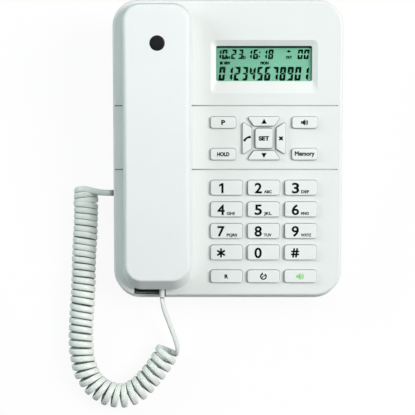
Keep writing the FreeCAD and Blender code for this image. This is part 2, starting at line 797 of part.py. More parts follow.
def make_bottom_cover():
    tray = new_body("tray_outer")
    outline = rounded_sketch(tray, "tray_outline", "base_width", "base_length", "base_corner",
                             level="foot_lift")
    block = feature(tray, "Pad", "tray_pad", outline, "split_height - foot_lift")
    fillet(tray, "tray_round", block, low_face, "base_round")
    hollow = slab("tray_hollow", "base_width - 2 * wall", "base_length - 2 * wall",
                  "base_corner - wall", "floor_top", "split_height + wall")
    tongue = cut("tray_tongue",
                 slab("tongue_outer", "base_width - 2 * wall - 2 * fit_gap",
                      "base_length - 2 * wall - 2 * fit_gap", "base_corner - wall - fit_gap",
                      "floor_top - wall / 2", "split_height + lip_height"),
                 slab("tongue_inner", "base_width - 2 * wall - 2 * fit_gap - 2 * lip_wall",
                      "base_length - 2 * wall - 2 * fit_gap - 2 * lip_wall",
                      "base_corner - wall - fit_gap - lip_wall",
                      "foot_lift", "split_height + 2 * lip_height"))
    root = "floor_top - wall / 2"
    additions = [cut("tray_shell", tray, hollow), tongue]
    web = slab("tongue_web", "base_width - wall", "base_length - wall", "base_corner - wall / 2",
               root, "split_height - fit_gap")
    web_hollow = slab("tongue_web_hollow", "base_width - 2 * wall - 2 * fit_gap - lip_wall",
                      "base_length - 2 * wall - 2 * fit_gap - lip_wall",
                      "base_corner - wall - fit_gap - lip_wall / 2", "foot_lift", "split_height + wall")
    additions.append(cut("tongue_root", web, web_hollow))
    additions.append(box("base_jack_stand", "jack_length - wall - jack_recess - fit_gap", "jack_width",
                         f"base_jack_low - ({root})",
                         "jack_length / 2 - half_width + (wall + jack_recess + fit_gap) / 2 + lip_wall",
                         "base_jack_y", root))
    additions.append(box("line_jack_stand", "line_width", "line_length - wall - jack_recess - fit_gap",
                         f"base_jack_low - ({root})", "line_x",
                         "half_length - line_length / 2 - (wall + jack_recess + fit_gap) / 2 - lip_wall",
                         root))
    additions.append(box("hook_stand", "hook_switch_width", "hook_switch_thick",
                         "hook_pedestal + wall / 2", "handset_u", "arch_v",
                         "hook_floor - wall / 2", True))
    additions.append(cut("speaker_wall",
                         cylinder("speaker_wall_outer", "speaker_radius + fit_gap + lip_wall",
                                  "speaker_ring_height", "speaker_x", "speaker_y", root),
                         cylinder("speaker_wall_inner", "speaker_radius + fit_gap",
                                  "2 * speaker_ring_height", "speaker_x", "speaker_y", root)))
    case_width = "cells_length + 2 * wall"
    case_depth = "cells_width + 2 * wall"
    additions.append(box("battery_case", case_width, case_depth, "cell_roof + wall - foot_lift",
                         "battery_x", "battery_y", "foot_lift"))
    tools = [box("battery_space", "cells_length", "cells_width", "cell_roof", "battery_x",
                 "battery_y", "0")]
    tools.append(seam_ring("base_seam", "base_width", "base_length", "base_corner", "split_height"))
    tools.append(cylinder("hinge_bore", "hinge_pin_radius + hinge_pin_gap",
                          "cells_length + 2 * hinge_pin_length + 2 * hinge_pin_gap - 2 * door_gap",
                          "battery_x - cells_length / 2 - hinge_pin_length - hinge_pin_gap + door_gap",
                          "hinge_y", "hinge_z", turn="right"))
    for index, side in enumerate(("", "-")):
        middle = f"keyhole_y + {side}keyhole_spacing / 2"
        wide = "2 * keyhole_radius + 2 * keyhole_margin"
        long = "2 * keyhole_radius + keyhole_slot_length + 2 * keyhole_margin"
        shift = f"{middle} + keyhole_slot_length / 2"
        additions.append(box(f"keyhole_case_{index}", f"{wide} + 2 * wall", f"{long} + 2 * wall",
                             "keyhole_depth + wall + wall / 2", "0", shift, root))
        tools.append(box(f"keyhole_space_{index}", wide, long, "keyhole_depth", "0", shift,
                         "floor_top"))
        tools.append(cylinder(f"keyhole_entry_{index}", "keyhole_radius", "2 * wall", "0", middle,
                              "foot_lift - wall / 2"))
        tools.append(box(f"keyhole_slot_{index}", "keyhole_slot_width", "keyhole_slot_length",
                         "2 * wall", "0", f"{middle} + keyhole_slot_length / 2",
                         "foot_lift - wall / 2"))
        tools.append(cylinder(f"keyhole_end_{index}", "keyhole_slot_width / 2", "2 * wall", "0",
                              f"{middle} + keyhole_slot_length", "foot_lift - wall / 2"))
    for index, (x, y, level) in enumerate(BASE_SCREWS):
        additions.append(cylinder(f"tray_post_{index}", "boss_radius + lip_wall / 2",
                                  f"split_height - ({root})", x, y, root))
        tools.append(cylinder(f"tray_recess_{index}", "screw_head_radius + fit_gap", "screw_recess",
                              x, y, "foot_lift"))
        tools.append(cylinder(f"tray_bore_{index}", "screw_radius + fit_gap", "split_height", x, y,
                              "foot_lift"))
    for index, (x, y) in enumerate(FEET):
        tools.append(cylinder(f"foot_pocket_{index}", "foot_radius + fit_gap", "2 * foot_seat", x, y,
                              "foot_lift - foot_seat"))
    tools.append(box("base_jack_gap", "3 * wall", "jack_width + 2 * jack_gap", "jack_height",
                     "-half_width + wall", "base_jack_y", "base_jack_low"))
    tools.append(box("line_jack_gap", "line_width + 2 * jack_gap", "3 * wall", "line_height", "line_x",
                     "half_length - wall", "base_jack_low"))
    for index in range(int(number("grille_count"))):
        shift = f"({index} - (grille_count - 1) / 2) * grille_pitch"
        reach = f"2 * sqrt((speaker_radius - 2 * speaker_frame) ^ 2 - ({shift}) ^ 2)"
        tools.append(box(f"grille_slot_{index}", reach, "grille_width", "2 * wall", "speaker_x",
                         f"speaker_y + {shift}", "foot_lift - wall / 2"))
    keep("base_bottom_cover", cut("bottom_cover", fuse("bottom_cover_whole", *additions), *tools))


FEET = [(f"{across}foot_x", f"{along}foot_y") for across in ("", "-") for along in ("", "-")]


# What the base holds

def make_display():
    keep("display_window", slab("lens", "display_width + 2 * lens_margin",
                                "display_height + 2 * lens_margin", "display_corner",
                                "lens_low", "sill_low", "panel_u", "display_v", True))
    keep("display_module", box("display_glass", "display_width + 2 * display_margin",
                               "display_height + 2 * display_margin", "display_thick", "panel_u",
                               "display_v", "-board_depth", True))


def make_board():
    board = box("board_blank", "board_width", "board_length", "board_thick", "panel_u", "board_v",
                "-board_depth - board_thick", True)
    holes = [cylinder(f"board_hole_{index}", "board_screw_radius + fit_gap", "3 * board_thick", u, v,
                      "-board_depth - 2 * board_thick", True)
             for index, (u, v) in enumerate(BOARD_SCREWS)]
    keep("main_board", cut("board", board, *holes))
    mat_length = "mat_back_v - board_front_v - mat_inset"
    sheet = box("mat_sheet", "board_width - 2 * mat_inset", mat_length, "mat_thick", "panel_u",
                f"mat_back_v - ({mat_length}) / 2", "-board_depth", True)
    domes = []
    spots = [(name, u, v) for name, u, v, width, height in KEYS]
    reach = "(nav_inner + nav_outer) / 2"
    spots += [("key_up", "panel_u", f"nav_v + {reach}"), ("key_down", "panel_u", f"nav_v - {reach}"),
              ("key_call", f"panel_u - {reach}", "nav_v"),
              ("key_delete", f"panel_u + {reach}", "nav_v")]
    for name, u, v in spots:
        domes.append(cone(name + "_dome", "dome_low_radius", "dome_top_radius",
                          "dome_top - mat_top + mat_thick / 2", u, v, "mat_top - mat_thick / 2", True))
    holes = [cylinder(f"mat_hole_{index}", "board_boss_radius + fit_gap", "3 * mat_thick", u, v,
                      "-board_depth - mat_thick", True)
             for index, (u, v) in enumerate(BOARD_SCREWS[2:])]
    keep("key_mat", cut("mat", fuse("mat_whole", sheet, *domes), *holes))
    screws = []
    for index, (u, v) in enumerate(BOARD_SCREWS):
        shank = cylinder(f"board_shank_{index}", "board_screw_radius",
                         "board_depth - 2 * wall + board_thick", u, v,
                         "-board_depth - board_thick", True)
        head = cone(f"board_head_{index}", "board_screw_radius", "2 * board_screw_radius",
                    "board_thick", u, v, "-board_depth - 2 * board_thick", True)
        screws.append(fuse(f"board_screw_{index}", shank, head))
    keep("board_screws", group("board_screw_set", *screws))


def make_hook():
    foot = "switch_top"
    head = new_body("hook_head", "handset_u", "arch_v", "0", True)
    rim = rounded_sketch(head, "hook_rim", "hook_width + 2 * hook_flange",
                         "hook_thick + 2 * hook_flange", "hook_flange", level="hook_flange_low")
    feature(head, "Pad", "hook_rim_pad", rim, "hook_flange_thick")
    outline = rounded_sketch(head, "hook_outline", "hook_width", "hook_thick", "hook_thick / 3",
                             level="hook_flange_top")
    cap = feature(head, "Pad", "hook_cap", outline, "grip_level - hook_gap - hook_flange_top")
    fillet(head, "hook_round", cap, top_face, "hook_thick / 5")
    stem = cylinder("hook_stem", "hook_stem_radius", "hook_flange_low - stem_low + hook_flange_thick / 2",
                    "handset_u", "arch_v", "stem_low", True)
    keep("hook_plunger", fuse("hook_plunger_whole", head, stem))
    block = box("switch_block", "hook_switch_width", "hook_switch_thick", "hook_switch_height",
                "handset_u", "arch_v", "switch_low", True)
    bore = cylinder("switch_bore", "hook_stem_radius + hook_gap", "hook_switch_height", "handset_u",
                    "arch_v", "switch_low + hook_stem_rest / 2", True)
    keep("hook_switch", cut("switch_body", block, bore))
    helix = doc.addObject("Part::Helix", "spring_path")
    length = f"hook_flange_low - {foot} - 2 * spring_wire - 2 * contact_gap"
    bind(helix, Radius="spring_radius", Height=length, Pitch=f"({length}) / spring_turns")
    place(helix, "handset_u", "arch_v", f"{foot} + spring_wire + contact_gap", True)
    wire = doc.addObject("Part::Circle", "spring_section")
    bind(wire, Radius="spring_wire")
    place(wire, "handset_u + spring_radius", "arch_v", f"{foot} + spring_wire + contact_gap", True,
          "front")
    spring = doc.addObject("Part::Sweep", "spring_coil")
    spring.Sections = [wire]
    spring.Spine = helix
    spring.Solid = True
    spring.Frenet = True
    keep("hook_spring", spring)


def make_speaker():
    frame = cylinder("speaker_basket", "speaker_radius", "speaker_frame", "speaker_x", "speaker_y",
                     "floor_top")
    dish = cone("speaker_dish", "speaker_radius - speaker_frame", "speaker_magnet_radius",
                "speaker_height / 2", "speaker_x", "speaker_y", "floor_top + speaker_frame / 2")
    magnet = cylinder("speaker_magnet", "speaker_magnet_radius", "speaker_height - speaker_frame",
                      "speaker_x", "speaker_y", "floor_top + speaker_frame")
    hollow = cone("speaker_hollow", "speaker_radius - speaker_frame", "speaker_magnet_radius / 2",
                  "speaker_height / 2", "speaker_x", "speaker_y", "floor_top")
    keep("loudspeaker", cut("speaker", fuse("speaker_whole", frame, dish, magnet), hollow))
    stub = "half_length - wall - microphone_height"
    keep("handsfree_microphone", cylinder("microphone", "microphone_radius", "microphone_height",
                                          "panel_u", f"-({stub}) - microphone_height + contact_gap",
                                          "microphone_z", turn="back"))


def make_jack(node, block, socket, latch):
    keep(node, cut(node + "_block", block, socket, latch))


def make_jacks():
    socket_length = "jack_length - jack_rear_wall"
    reach = "half_width - jack_recess"
    low = "jack_axis_z - plug_height / 2 - plug_gap"
    make_jack("base_handset_jack",
              box("base_jack_body", "jack_length", "jack_width", "jack_height",
                  f"jack_length / 2 - ({reach})", "base_jack_y", "base_jack_low"),
              box("base_jack_socket", socket_length, "plug_width + 2 * plug_gap",
                  "plug_height + 2 * plug_gap", f"({socket_length}) / 2 - ({reach})", "base_jack_y",
                  low),
              box("base_jack_latch", socket_length, "latch_width", "latch_depth",
                  f"({socket_length}) / 2 - ({reach})", "base_jack_y", f"{low} - latch_depth / 2"))
    keep("base_plug", box("base_plug_block", "plug_length", "plug_width", "plug_height",
                          f"plug_length / 2 - ({reach})", "base_jack_y",
                          "jack_axis_z - plug_height / 2"))
    front = "half_length - jack_recess"
    line_low = "base_jack_low + (line_height - line_socket_height) / 2"
    make_jack("line_jack",
              box("line_body", "line_width", "line_length", "line_height", "line_x",
                  f"{front} - line_length / 2", "base_jack_low"),
              box("line_socket", "line_socket_width", "line_socket_depth", "line_socket_height",
                  "line_x", f"{front} - line_socket_depth / 2", line_low),
              box("line_latch", "latch_width", "line_socket_depth", "latch_depth", "line_x",
                  f"{front} - line_socket_depth / 2", f"{line_low} - latch_depth"))
    middle = "handset_jack_n - jack_height / 2"
    socket = "handset_jack_n - plug_height / 2 - plug_gap"
    make_jack("handset_jack",
              box("handset_jack_body", "jack_width", "jack_length", "jack_height", "handset_jack_u",
                  "handset_jack_front_v + jack_length / 2", middle, True),
              box("handset_jack_socket", "plug_width + 2 * plug_gap", socket_length,
                  "plug_height + 2 * plug_gap", "handset_jack_u",
                  f"handset_jack_front_v + ({socket_length}) / 2", socket, True),
              box("handset_jack_latch", "latch_width", socket_length, "latch_depth", "handset_jack_u",
                  f"handset_jack_front_v + ({socket_length}) / 2", f"{socket} - latch_depth / 2", True))
    plug = box("handset_plug_block", "plug_width", "plug_length", "plug_height", "handset_jack_u",
               "handset_jack_front_v + plug_length / 2", "handset_jack_n - plug_height / 2", True)
    boot = cone("handset_plug_boot", "boot_radius", "boot_tip_radius", "boot_length + boot_radius",
                "handset_jack_u", "handset_jack_front_v + boot_radius", "handset_jack_n", True, "front")
    keep("handset_plug", fuse("handset_plug_whole", plug, boot))


def make_battery():
    gap = "door_gap"
    length = f"cells_length - 2 * {gap}"
    plate = box("door_plate", length, f"cells_width - 2 * {gap} - door_thick / 2", "door_thick",
                "battery_x", "battery_y + door_thick / 4", "foot_lift")
    barrel = cylinder("door_barrel", "door_thick / 2", length, f"battery_x - ({length}) / 2",
                      "hinge_y", "hinge_z", turn="right")
    pin = cylinder("door_pin", "hinge_pin_radius", f"{length} + 2 * hinge_pin_length",
                   f"battery_x - ({length}) / 2 - hinge_pin_length", "hinge_y", "hinge_z", turn="right")
    keep("battery_door", fuse("battery_door_whole", plate, barrel, pin))
    cells = []
    contacts = []
    start = "battery_x - cells_length / 2"
    for index in range(int(number("cell_count"))):
        row = f"battery_y + ({index} - (cell_count - 1) / 2) * cell_pitch"
        cells.append(cylinder(f"cell_{index}", "cell_radius", "cell_length",
                              f"{start} + contact_plate + contact_length", row, "cell_axis_z",
                              turn="right"))
        spring = cone(f"contact_spring_{index}", "contact_radius", "contact_radius / 2",
                      "contact_length", f"{start} + contact_plate", row, "cell_axis_z", turn="right")
        back = box(f"contact_back_{index}", "contact_plate", "2 * contact_radius",
                   "2 * contact_radius", f"{start} + contact_plate / 2", row,
                   "cell_axis_z - contact_radius")
        contacts.append(fuse(f"contact_minus_{index}", back, spring))
        contacts.append(box(f"contact_plus_{index}", "contact_plate", "2 * contact_radius",
                            "2 * contact_radius",
                            "battery_x + cells_length / 2 - contact_plate / 2", row,
                            "cell_axis_z - contact_radius"))
    keep("battery_cells", group("battery_cell_set", *cells))
    keep("battery_contacts", group("battery_contact_set", *contacts))


def make_base_hardware():
    feet = []
    for index, (x, y) in enumerate(FEET):
        feet.append(cylinder(f"foot_{index}", "foot_radius", "foot_lift + foot_seat", x, y, "0"))
    keep("rubber_feet", group("rubber_foot_set", *feet))
    screws = []
    for index, (x, y, level) in enumerate(BASE_SCREWS):
        shank = cylinder(f"base_shank_{index}", "screw_radius", "screw_length", x, y, "boss_shoulder")
        head = cylinder(f"base_head_{index}", "screw_head_radius", "screw_head_height", x, y,
                        "boss_shoulder - screw_head_height")
        screws.append(fuse(f"base_screw_{index}", shank, head))
    keep("base_screws", group("base_screw_set", *screws))


# Handset

HANDSET_SCREWS = ["arch_v + handset_screw_spread", "arch_v - handset_screw_spread"]


def make_handset():
    front = cut("front_shell_hollow", front_form("front_outer", "0", True),
                front_form("front_inner", "handset_wall", False))
    front_bosses = []
    pilots = []
    back_bosses = []
    bores = []
    screws = []
    for index, v in enumerate(HANDSET_SCREWS):
        front_bosses.append(cylinder(f"front_boss_{index}", "handset_boss_radius",
                                     "front_boss_top - handset_part", "handset_u", v,
                                     "handset_part", True))
        pilots.append(cylinder(f"front_pilot_{index}", "handset_screw_radius + pilot_gap",
                               "handset_screw_length", "handset_u", v,
                               "handset_screw_seat + pilot_gap", True))
        back_bosses.append(cylinder(f"back_boss_{index}", "handset_boss_radius",
                                    "handset_part - back_boss_foot", "handset_u", v,
                                    "back_boss_foot", True))
        bores.append(cylinder(f"back_recess_{index}", "handset_screw_head + fit_gap",
                              "cup_depth + arch_rise + handset_screw_seat", "handset_u", v,
                              "cup_level - arch_rise", True))
        bores.append(cylinder(f"back_bore_{index}", "handset_screw_radius + fit_gap",
                              "2 * handset_part", "handset_u", v, "0", True))
        shank = cylinder(f"handset_shank_{index}", "handset_screw_radius", "handset_screw_length",
                         "handset_u", v, "handset_screw_seat", True)
        head = cylinder(f"handset_head_{index}", "handset_screw_head", "handset_screw_head_height",
                        "handset_u", v, "handset_screw_seat - handset_screw_head_height", True)
        screws.append(fuse(f"handset_screw_{index}", shank, head))
    keep("handset_front_shell", cut("front_shell", fuse("front_shell_whole", front, *front_bosses),
                                    *pilots))
    keep("handset_screws", group("handset_screw_set", *screws))

    back = cut("back_shell_hollow", back_form("back_outer", "0", "cup_depth", "arch_half", "arch_rise"),
               back_form("back_inner", "-handset_wall", "cup_depth - handset_wall",
                         "arch_half + handset_wall", "arch_rise"))
    inside = "cup_level + handset_wall"
    ring = cut("ear_ring",
               cylinder("ear_ring_outer", "earpiece_radius + fit_gap + lip_wall",
                        "earpiece_height / 2 + handset_wall / 2", "handset_u", "earpiece_v",
                        "cup_level + handset_wall / 2", True),
               cylinder("ear_ring_inner", "earpiece_radius + fit_gap", "earpiece_height", "handset_u",
                        "earpiece_v", inside, True))
    stand = box("handset_jack_stand", "jack_width", "jack_length - 2 * handset_wall - fit_gap",
                "handset_jack_n - jack_height / 2 - cup_level - handset_wall / 2", "handset_jack_u",
                "handset_jack_front_v + jack_length / 2 + handset_wall + fit_gap / 2",
                "cup_level + handset_wall / 2", True)
    opening = box("handset_jack_opening", "jack_width + 2 * jack_gap", "jack_length + 2 * jack_gap",
                  "jack_height + jack_gap", "handset_jack_u", "handset_jack_front_v",
                  "handset_jack_n - jack_height / 2", True)
    seam = seam_ring("handset_seam", "handset_width", "handset_length", "handset_corner", "handset_part",
                     "handset_u", "handset_v", True)
    holes = [opening, seam, cylinder("ear_hole_middle", "ear_hole_radius", "2 * handset_wall", "handset_u",
                               "earpiece_v", "cup_level - handset_wall / 2", True)]
    for index in range(6):
        holes.append(cylinder(f"ear_hole_{index}", "ear_hole_radius", "2 * handset_wall",
                              f"handset_u + ear_hole_ring * cos({60 * index})",
                              f"earpiece_v + ear_hole_ring * sin({60 * index})",
                              "cup_level - handset_wall / 2", True))
    for index in (-1, 0, 1):
        holes.append(cylinder(f"mouth_hole_{index + 1}", "mouth_hole_radius", "2 * handset_wall",
                              f"handset_u + {index} * mouth_hole_pitch", "mouthpiece_v",
                              "cup_level - handset_wall / 2", True))
    keep("handset_back_shell", cut("back_shell", fuse("back_shell_whole", back, ring, stand,
                                                      *back_bosses), *bores, *holes))
    keep("earpiece_capsule", cylinder("earpiece", "earpiece_radius", "earpiece_height", "handset_u",
                                      "earpiece_v", inside, True))
    keep("handset_microphone", cylinder("mouthpiece", "mouthpiece_radius", "mouthpiece_height",
                                        "handset_u", "mouthpiece_v", inside, True))
    keep("handset_weight", box("weight_bar", "weight_width", "weight_length", "weight_height",
                               "handset_u", "arch_v", "grip_level + handset_wall + contact_gap", True))


# Curly cord, along points chosen by hand

COIL_ROUTE = [(-102.5, -25), (-102.3, -48), (-103.8, -74), (-103.9, -100), (-105.6, -124),
              (-105.2, -144), (-100.5, -160), (-91, -170), (-77, -174.5), (-65, -170.5),
              (-54.5, -159), (-47, -149), (-42.3, -140.5)]
COIL_LIFT = 0.2
BASE_TAIL = [(-79.8, -28.0, 16.2), (-85.6, -28.0, 16.2), (-92.4, -27.7, 16.5), (-98.4, -26.9, 15.4)]
HANDSET_TAIL = [(-46.6, -103.3, 24.35), (-46.2, -107.6, 23.5), (-44.6, -113.2, 20.8),
                (-41.6, -121.2, 16.6), (-38.4, -130.0, 12.4), (-35.6, -138.4, 9.0),
                (-35.8, -145.0, 7.2)]


def route_tube(points, diameter, name):
    corners = [FreeCAD.Vector(*point) for point in points]
    edges = []
    last = corners[0]
    radii = []
    for before, corner, after in zip(corners, corners[1:], corners[2:]):
        run_in, run_out = corner - before, after - corner
        half_turn = run_in.getAngle(run_out) / 2
        setback = 0.45 * min(run_in.Length, run_out.Length)
        radii.append(setback / math.tan(half_turn))
        run_in.normalize()
        run_out.normalize()
        first, final = corner - run_in * setback, corner + run_out * setback
        inward = (run_out - run_in).normalize()
        reach = radii[-1] / math.cos(half_turn) - radii[-1]
        middle = corner + inward * reach
        edges.append(Part.LineSegment(last, first).toShape())
        edges.append(Part.Arc(first, middle, final).toShape())
        last = final
    edges.append(Part.LineSegment(last, corners[-1]).toShape())
    path = Part.Wire(edges)
    start = (corners[1] - corners[0]).normalize()
    section = Part.Wire(Part.makeCircle(diameter / 2, corners[0], start))
    tube = path.makePipeShell([section], True, True)
    expected = math.pi * diameter ** 2 / 4 * path.Length
    print(name, "length", round(path.Length, 1), "radii", [round(radius, 1) for radius in radii],
          "volume ratio", round(tube.Volume / expected, 4))
    return tube


def tied_route(points, x, y, z):
    # The first point is held at its plug, and the last one where it lies.
    shift = FreeCAD.Vector(number(x), number(y), number(z)) - FreeCAD.Vector(*points[0])
    last = len(points) - 1
    return [FreeCAD.Vector(*point) + shift * (1 - index / last)
            for index, point in enumerate(points)]


def make_cord():
    height = number("coil_diameter") / 2 + COIL_LIFT
    coil = [(x, y, height) for x, y in COIL_ROUTE]
    base_tail = tied_route(BASE_TAIL, "jack_recess - cord_gap - half_width", "base_jack_y", "jack_axis_z")
    handset_tail = tied_route(HANDSET_TAIL, "handset_jack_u",
                              "boot_tip_v * cos(face_tilt) - handset_jack_n * sin(face_tilt)",
                              "face_height + boot_tip_v * sin(face_tilt) + handset_jack_n * cos(face_tilt)")
    for node, points, size in [("cord_coil", coil, "coil_diameter"),
                               ("cord_base_tail", base_tail, "cord_diameter"),
                               ("cord_handset_tail", handset_tail, "cord_diameter")]:
        tube = doc.addObject("Part::Feature", node + "_tube")
        tube.Shape = route_tube(points, number(size), node)
        keep(node, tube)


make_top_cover()
make_bottom_cover()
make_display()
make_board()
make_hook()
make_speaker()
make_jacks()
make_battery()
make_base_hardware()
make_handset()
make_cord()
doc.recompute()

failed = [thing.Name for thing in doc.Objects
          if "Invalid" in thing.State or "Error" in thing.State]
failed += [thing.Label for thing in NODES if thing.Shape.isNull() or not thing.Shape.isValid()]
if failed:
    raise RuntimeError("failed: " + ", ".join(failed))

os.makedirs("parts", exist_ok=True)
for thing in NODES:
    thing.Shape.exportStep(f"parts/{thing.Label}.step")
    print(thing.Label, len(thing.Shape.Solids), round(thing.Shape.Volume, 1))
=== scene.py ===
import bpy
import bmesh
import json
import math
import random
from mathutils import Matrix, Vector


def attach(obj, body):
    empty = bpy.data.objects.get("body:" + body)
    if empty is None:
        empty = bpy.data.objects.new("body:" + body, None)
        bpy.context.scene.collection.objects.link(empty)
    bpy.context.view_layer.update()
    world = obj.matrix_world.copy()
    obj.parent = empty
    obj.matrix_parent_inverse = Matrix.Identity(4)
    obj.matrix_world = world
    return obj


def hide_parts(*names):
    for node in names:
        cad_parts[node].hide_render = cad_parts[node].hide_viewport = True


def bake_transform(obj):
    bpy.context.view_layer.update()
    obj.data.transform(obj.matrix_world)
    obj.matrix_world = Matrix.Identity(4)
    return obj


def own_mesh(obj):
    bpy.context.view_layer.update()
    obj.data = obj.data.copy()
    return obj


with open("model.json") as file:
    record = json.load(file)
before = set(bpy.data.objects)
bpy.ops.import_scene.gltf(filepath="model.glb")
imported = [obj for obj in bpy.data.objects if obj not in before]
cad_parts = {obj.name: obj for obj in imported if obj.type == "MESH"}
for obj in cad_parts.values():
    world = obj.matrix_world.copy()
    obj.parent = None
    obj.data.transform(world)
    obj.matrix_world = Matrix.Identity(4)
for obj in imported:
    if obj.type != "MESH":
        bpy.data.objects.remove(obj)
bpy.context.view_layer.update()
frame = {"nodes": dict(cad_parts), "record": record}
cadNodes = frame["nodes"]
scene = bpy.context.scene
print("frame loaded:", len(cadNodes), "nodes")


def tone(red, green, blue):
    # screen values 0 to 255 to the linear ones that a shader takes
    shares = [value / 255 for value in (red, green, blue)]
    return tuple(s / 12.92 if s < 0.04045 else ((s + 0.055) / 1.055) ** 2.4 for s in shares) + (1.0,)


# camera, set from the key panel's corners and the handset's ends
cameraSetup = {
    "place": (-0.01425, -0.1073, 0.88938), "elevation": 85.5, "lens": 105.44, "sensor": 36.0,
    "clipStart": 0.01,
}

cameraData = bpy.data.cameras.new("camera")
cameraData.lens = cameraSetup["lens"]
cameraData.sensor_width = cameraSetup["sensor"]
cameraData.clip_start = cameraSetup["clipStart"]
camera = bpy.data.objects.new("camera", cameraData)
scene.collection.objects.link(camera)
tiltUp = math.radians(cameraSetup["elevation"])
backward = Vector((0, -math.cos(tiltUp), math.sin(tiltUp)))
camera.location = cameraSetup["place"]
camera.rotation_mode = "QUATERNION"
camera.rotation_quaternion = (-backward).to_track_quat("-Z", "Y")
scene.camera = camera
print("camera placed")

# sloping face of the base: u right, v up the slope, n out of it, in millimetres
faceFrame = {"height": 42.0, "tilt": 10.0}
faceMatrix = (Matrix.Translation((0, 0, faceFrame["height"] / 1000))
              @ Matrix.Rotation(math.radians(faceFrame["tilt"]), 4, "X"))
faceNormal = faceMatrix.to_3x3() @ Vector((0, 0, 1))
toMetres = Matrix.Diagonal((0.001, 0.001, 0.001, 1))


def addObject(name, mesh, material=None):
    piece = bpy.data.objects.new(name, mesh)
    scene.collection.objects.link(piece)
    if material:
        mesh.materials.clear()
        mesh.materials.append(material)
    return piece


def evaluatedMesh(source):
    bpy.context.view_layer.update()
    return bpy.data.meshes.new_from_object(source.evaluated_get(bpy.context.evaluated_depsgraph_get()))


def curveMesh(curve):
    holder = addObject(curve.name, curve)
    mesh = evaluatedMesh(holder)
    bpy.data.objects.remove(holder)
    return mesh


def shapeMesh(name, shape):
    mesh = bpy.data.meshes.new(name)
    shape.to_mesh(mesh)
    shape.free()
    return mesh


def bridgeRings(shape, rings):
    for first, second in zip(rings, rings[1:]):
        for index in range(len(first)):
            after = (index + 1) % len(first)
            shape.faces.new((first[index], first[after], second[after], second[index]))


# shader nodes that several finishes share
noiseMiddle = 0.5


def feed(tree, socket, value):
    # an output is linked to the socket, a number or a colour is set on it
    if isinstance(value, bpy.types.NodeSocket):
        tree.links.new(value, socket)
    else:
        socket.default_value = value


def mathNode(tree, operation, first, second):
    node = tree.nodes.new("ShaderNodeMath")
    node.operation = operation
    feed(tree, node.inputs[0], first)
    feed(tree, node.inputs[1], second)
    return node.outputs[0]


def rangeNode(tree, value, low, high, first=0.0, last=1.0):
    node = tree.nodes.new("ShaderNodeMapRange")
    for title, setting in (("Value", value), ("From Min", low), ("From Max", high), ("To Min", first),
                           ("To Max", last)):
        feed(tree, node.inputs[title], setting)
    return node.outputs["Result"]


def colourMix(tree, factor, first, second, way="MIX"):
    node = tree.nodes.new("ShaderNodeMix")
    node.data_type = "RGBA"
    node.blend_type = way
    for title, value in (("Factor", factor), ("A", first), ("B", second)):
        feed(tree, node.inputs[title], value)
    return node.outputs["Result"]


def shaderMix(tree, factor, first, second):
    node = tree.nodes.new("ShaderNodeMixShader")
    feed(tree, node.inputs["Fac"], factor)
    tree.links.new(first, node.inputs[1])
    tree.links.new(second, node.inputs[2])
    return node.outputs["Shader"]


def noiseNode(tree, place, scale, detail):
    node = tree.nodes.new("ShaderNodeTexNoise")
    for title, value in (("Vector", place), ("Scale", scale), ("Detail", detail)):
        feed(tree, node.inputs[title], value)
    return node.outputs["Fac"]


def bumpNode(tree, height, strength, distance):
    node = tree.nodes.new("ShaderNodeBump")
    for title, value in (("Height", height), ("Strength", strength), ("Distance", distance)):
        feed(tree, node.inputs[title], value)
    return node.outputs["Normal"]


def objectPlace(tree):
    return tree.nodes.new("ShaderNodeTexCoord").outputs["Object"]


def newGroup(name, inputs):
    # a finish gives a colour, a roughness and a normal
    group = bpy.data.node_groups.new(name, "ShaderNodeTree")
    outputs = {"Color": "Color", "Roughness": "Float", "Normal": "Vector"}
    for way, sockets in (("INPUT", inputs), ("OUTPUT", outputs)):
        for title, kind in sockets.items():
            group.interface.new_socket(title, in_out=way, socket_type="NodeSocket" + kind)
    return group, group.nodes.new("NodeGroupInput").outputs, group.nodes.new("NodeGroupOutput").inputs


mouldSetup = {"grainDetail": 2, "driftScale": 28, "driftDetail": 4, "bumpDistance": 0.0002}


def buildMouldGrain(setup):
    # spark-eroded mould texture, with a slow drift of tint and roughness over the piece
    group, given, result = newGroup("mouldGrain", {
        "Base": "Color", "Shade": "Color", "Grain Scale": "Float", "Grain Depth": "Float",
        "Rough": "Float", "Rough Drift": "Float"})
    place = objectPlace(group)
    grain = noiseNode(group, place, given["Grain Scale"], setup["grainDetail"])
    drift = noiseNode(group, place, setup["driftScale"], setup["driftDetail"])
    offset = mathNode(group, "SUBTRACT", drift, noiseMiddle)
    swing = mathNode(group, "MULTIPLY", offset, given["Rough Drift"])
    feed(group, result["Color"], colourMix(group, drift, given["Base"], given["Shade"]))
    feed(group, result["Roughness"], mathNode(group, "ADD", given["Rough"], swing))
    feed(group, result["Normal"], bumpNode(group, grain, given["Grain Depth"], setup["bumpDistance"]))
    return group


brushSetup = {"stretch": (1.0, 12.0, 12.0), "scale": 400, "detail": 3, "roughSwing": 0.15,
              "bumpStrength": 0.06, "bumpDistance": 0.0001}


def buildMetalBrush(setup):
    # fine streaks along one axis, for plated and drawn metal
    group, given, result = newGroup("metalBrush", {"Base": "Color", "Shade": "Color", "Rough": "Float"})
    stretch = group.nodes.new("ShaderNodeMapping")
    stretch.inputs["Scale"].default_value = setup["stretch"]
    feed(group, stretch.inputs["Vector"], objectPlace(group))
    streak = noiseNode(group, stretch.outputs["Vector"], setup["scale"], setup["detail"])
    swing = mathNode(group, "MULTIPLY", streak, setup["roughSwing"])
    feed(group, result["Color"], colourMix(group, streak, given["Base"], given["Shade"]))
    feed(group, result["Roughness"], mathNode(group, "ADD", given["Rough"], swing))
    feed(group, result["Normal"], bumpNode(group, streak, setup["bumpStrength"], setup["bumpDistance"]))
    return group


mouldGrain = buildMouldGrain(mouldSetup)
metalBrush = buildMetalBrush(brushSetup)


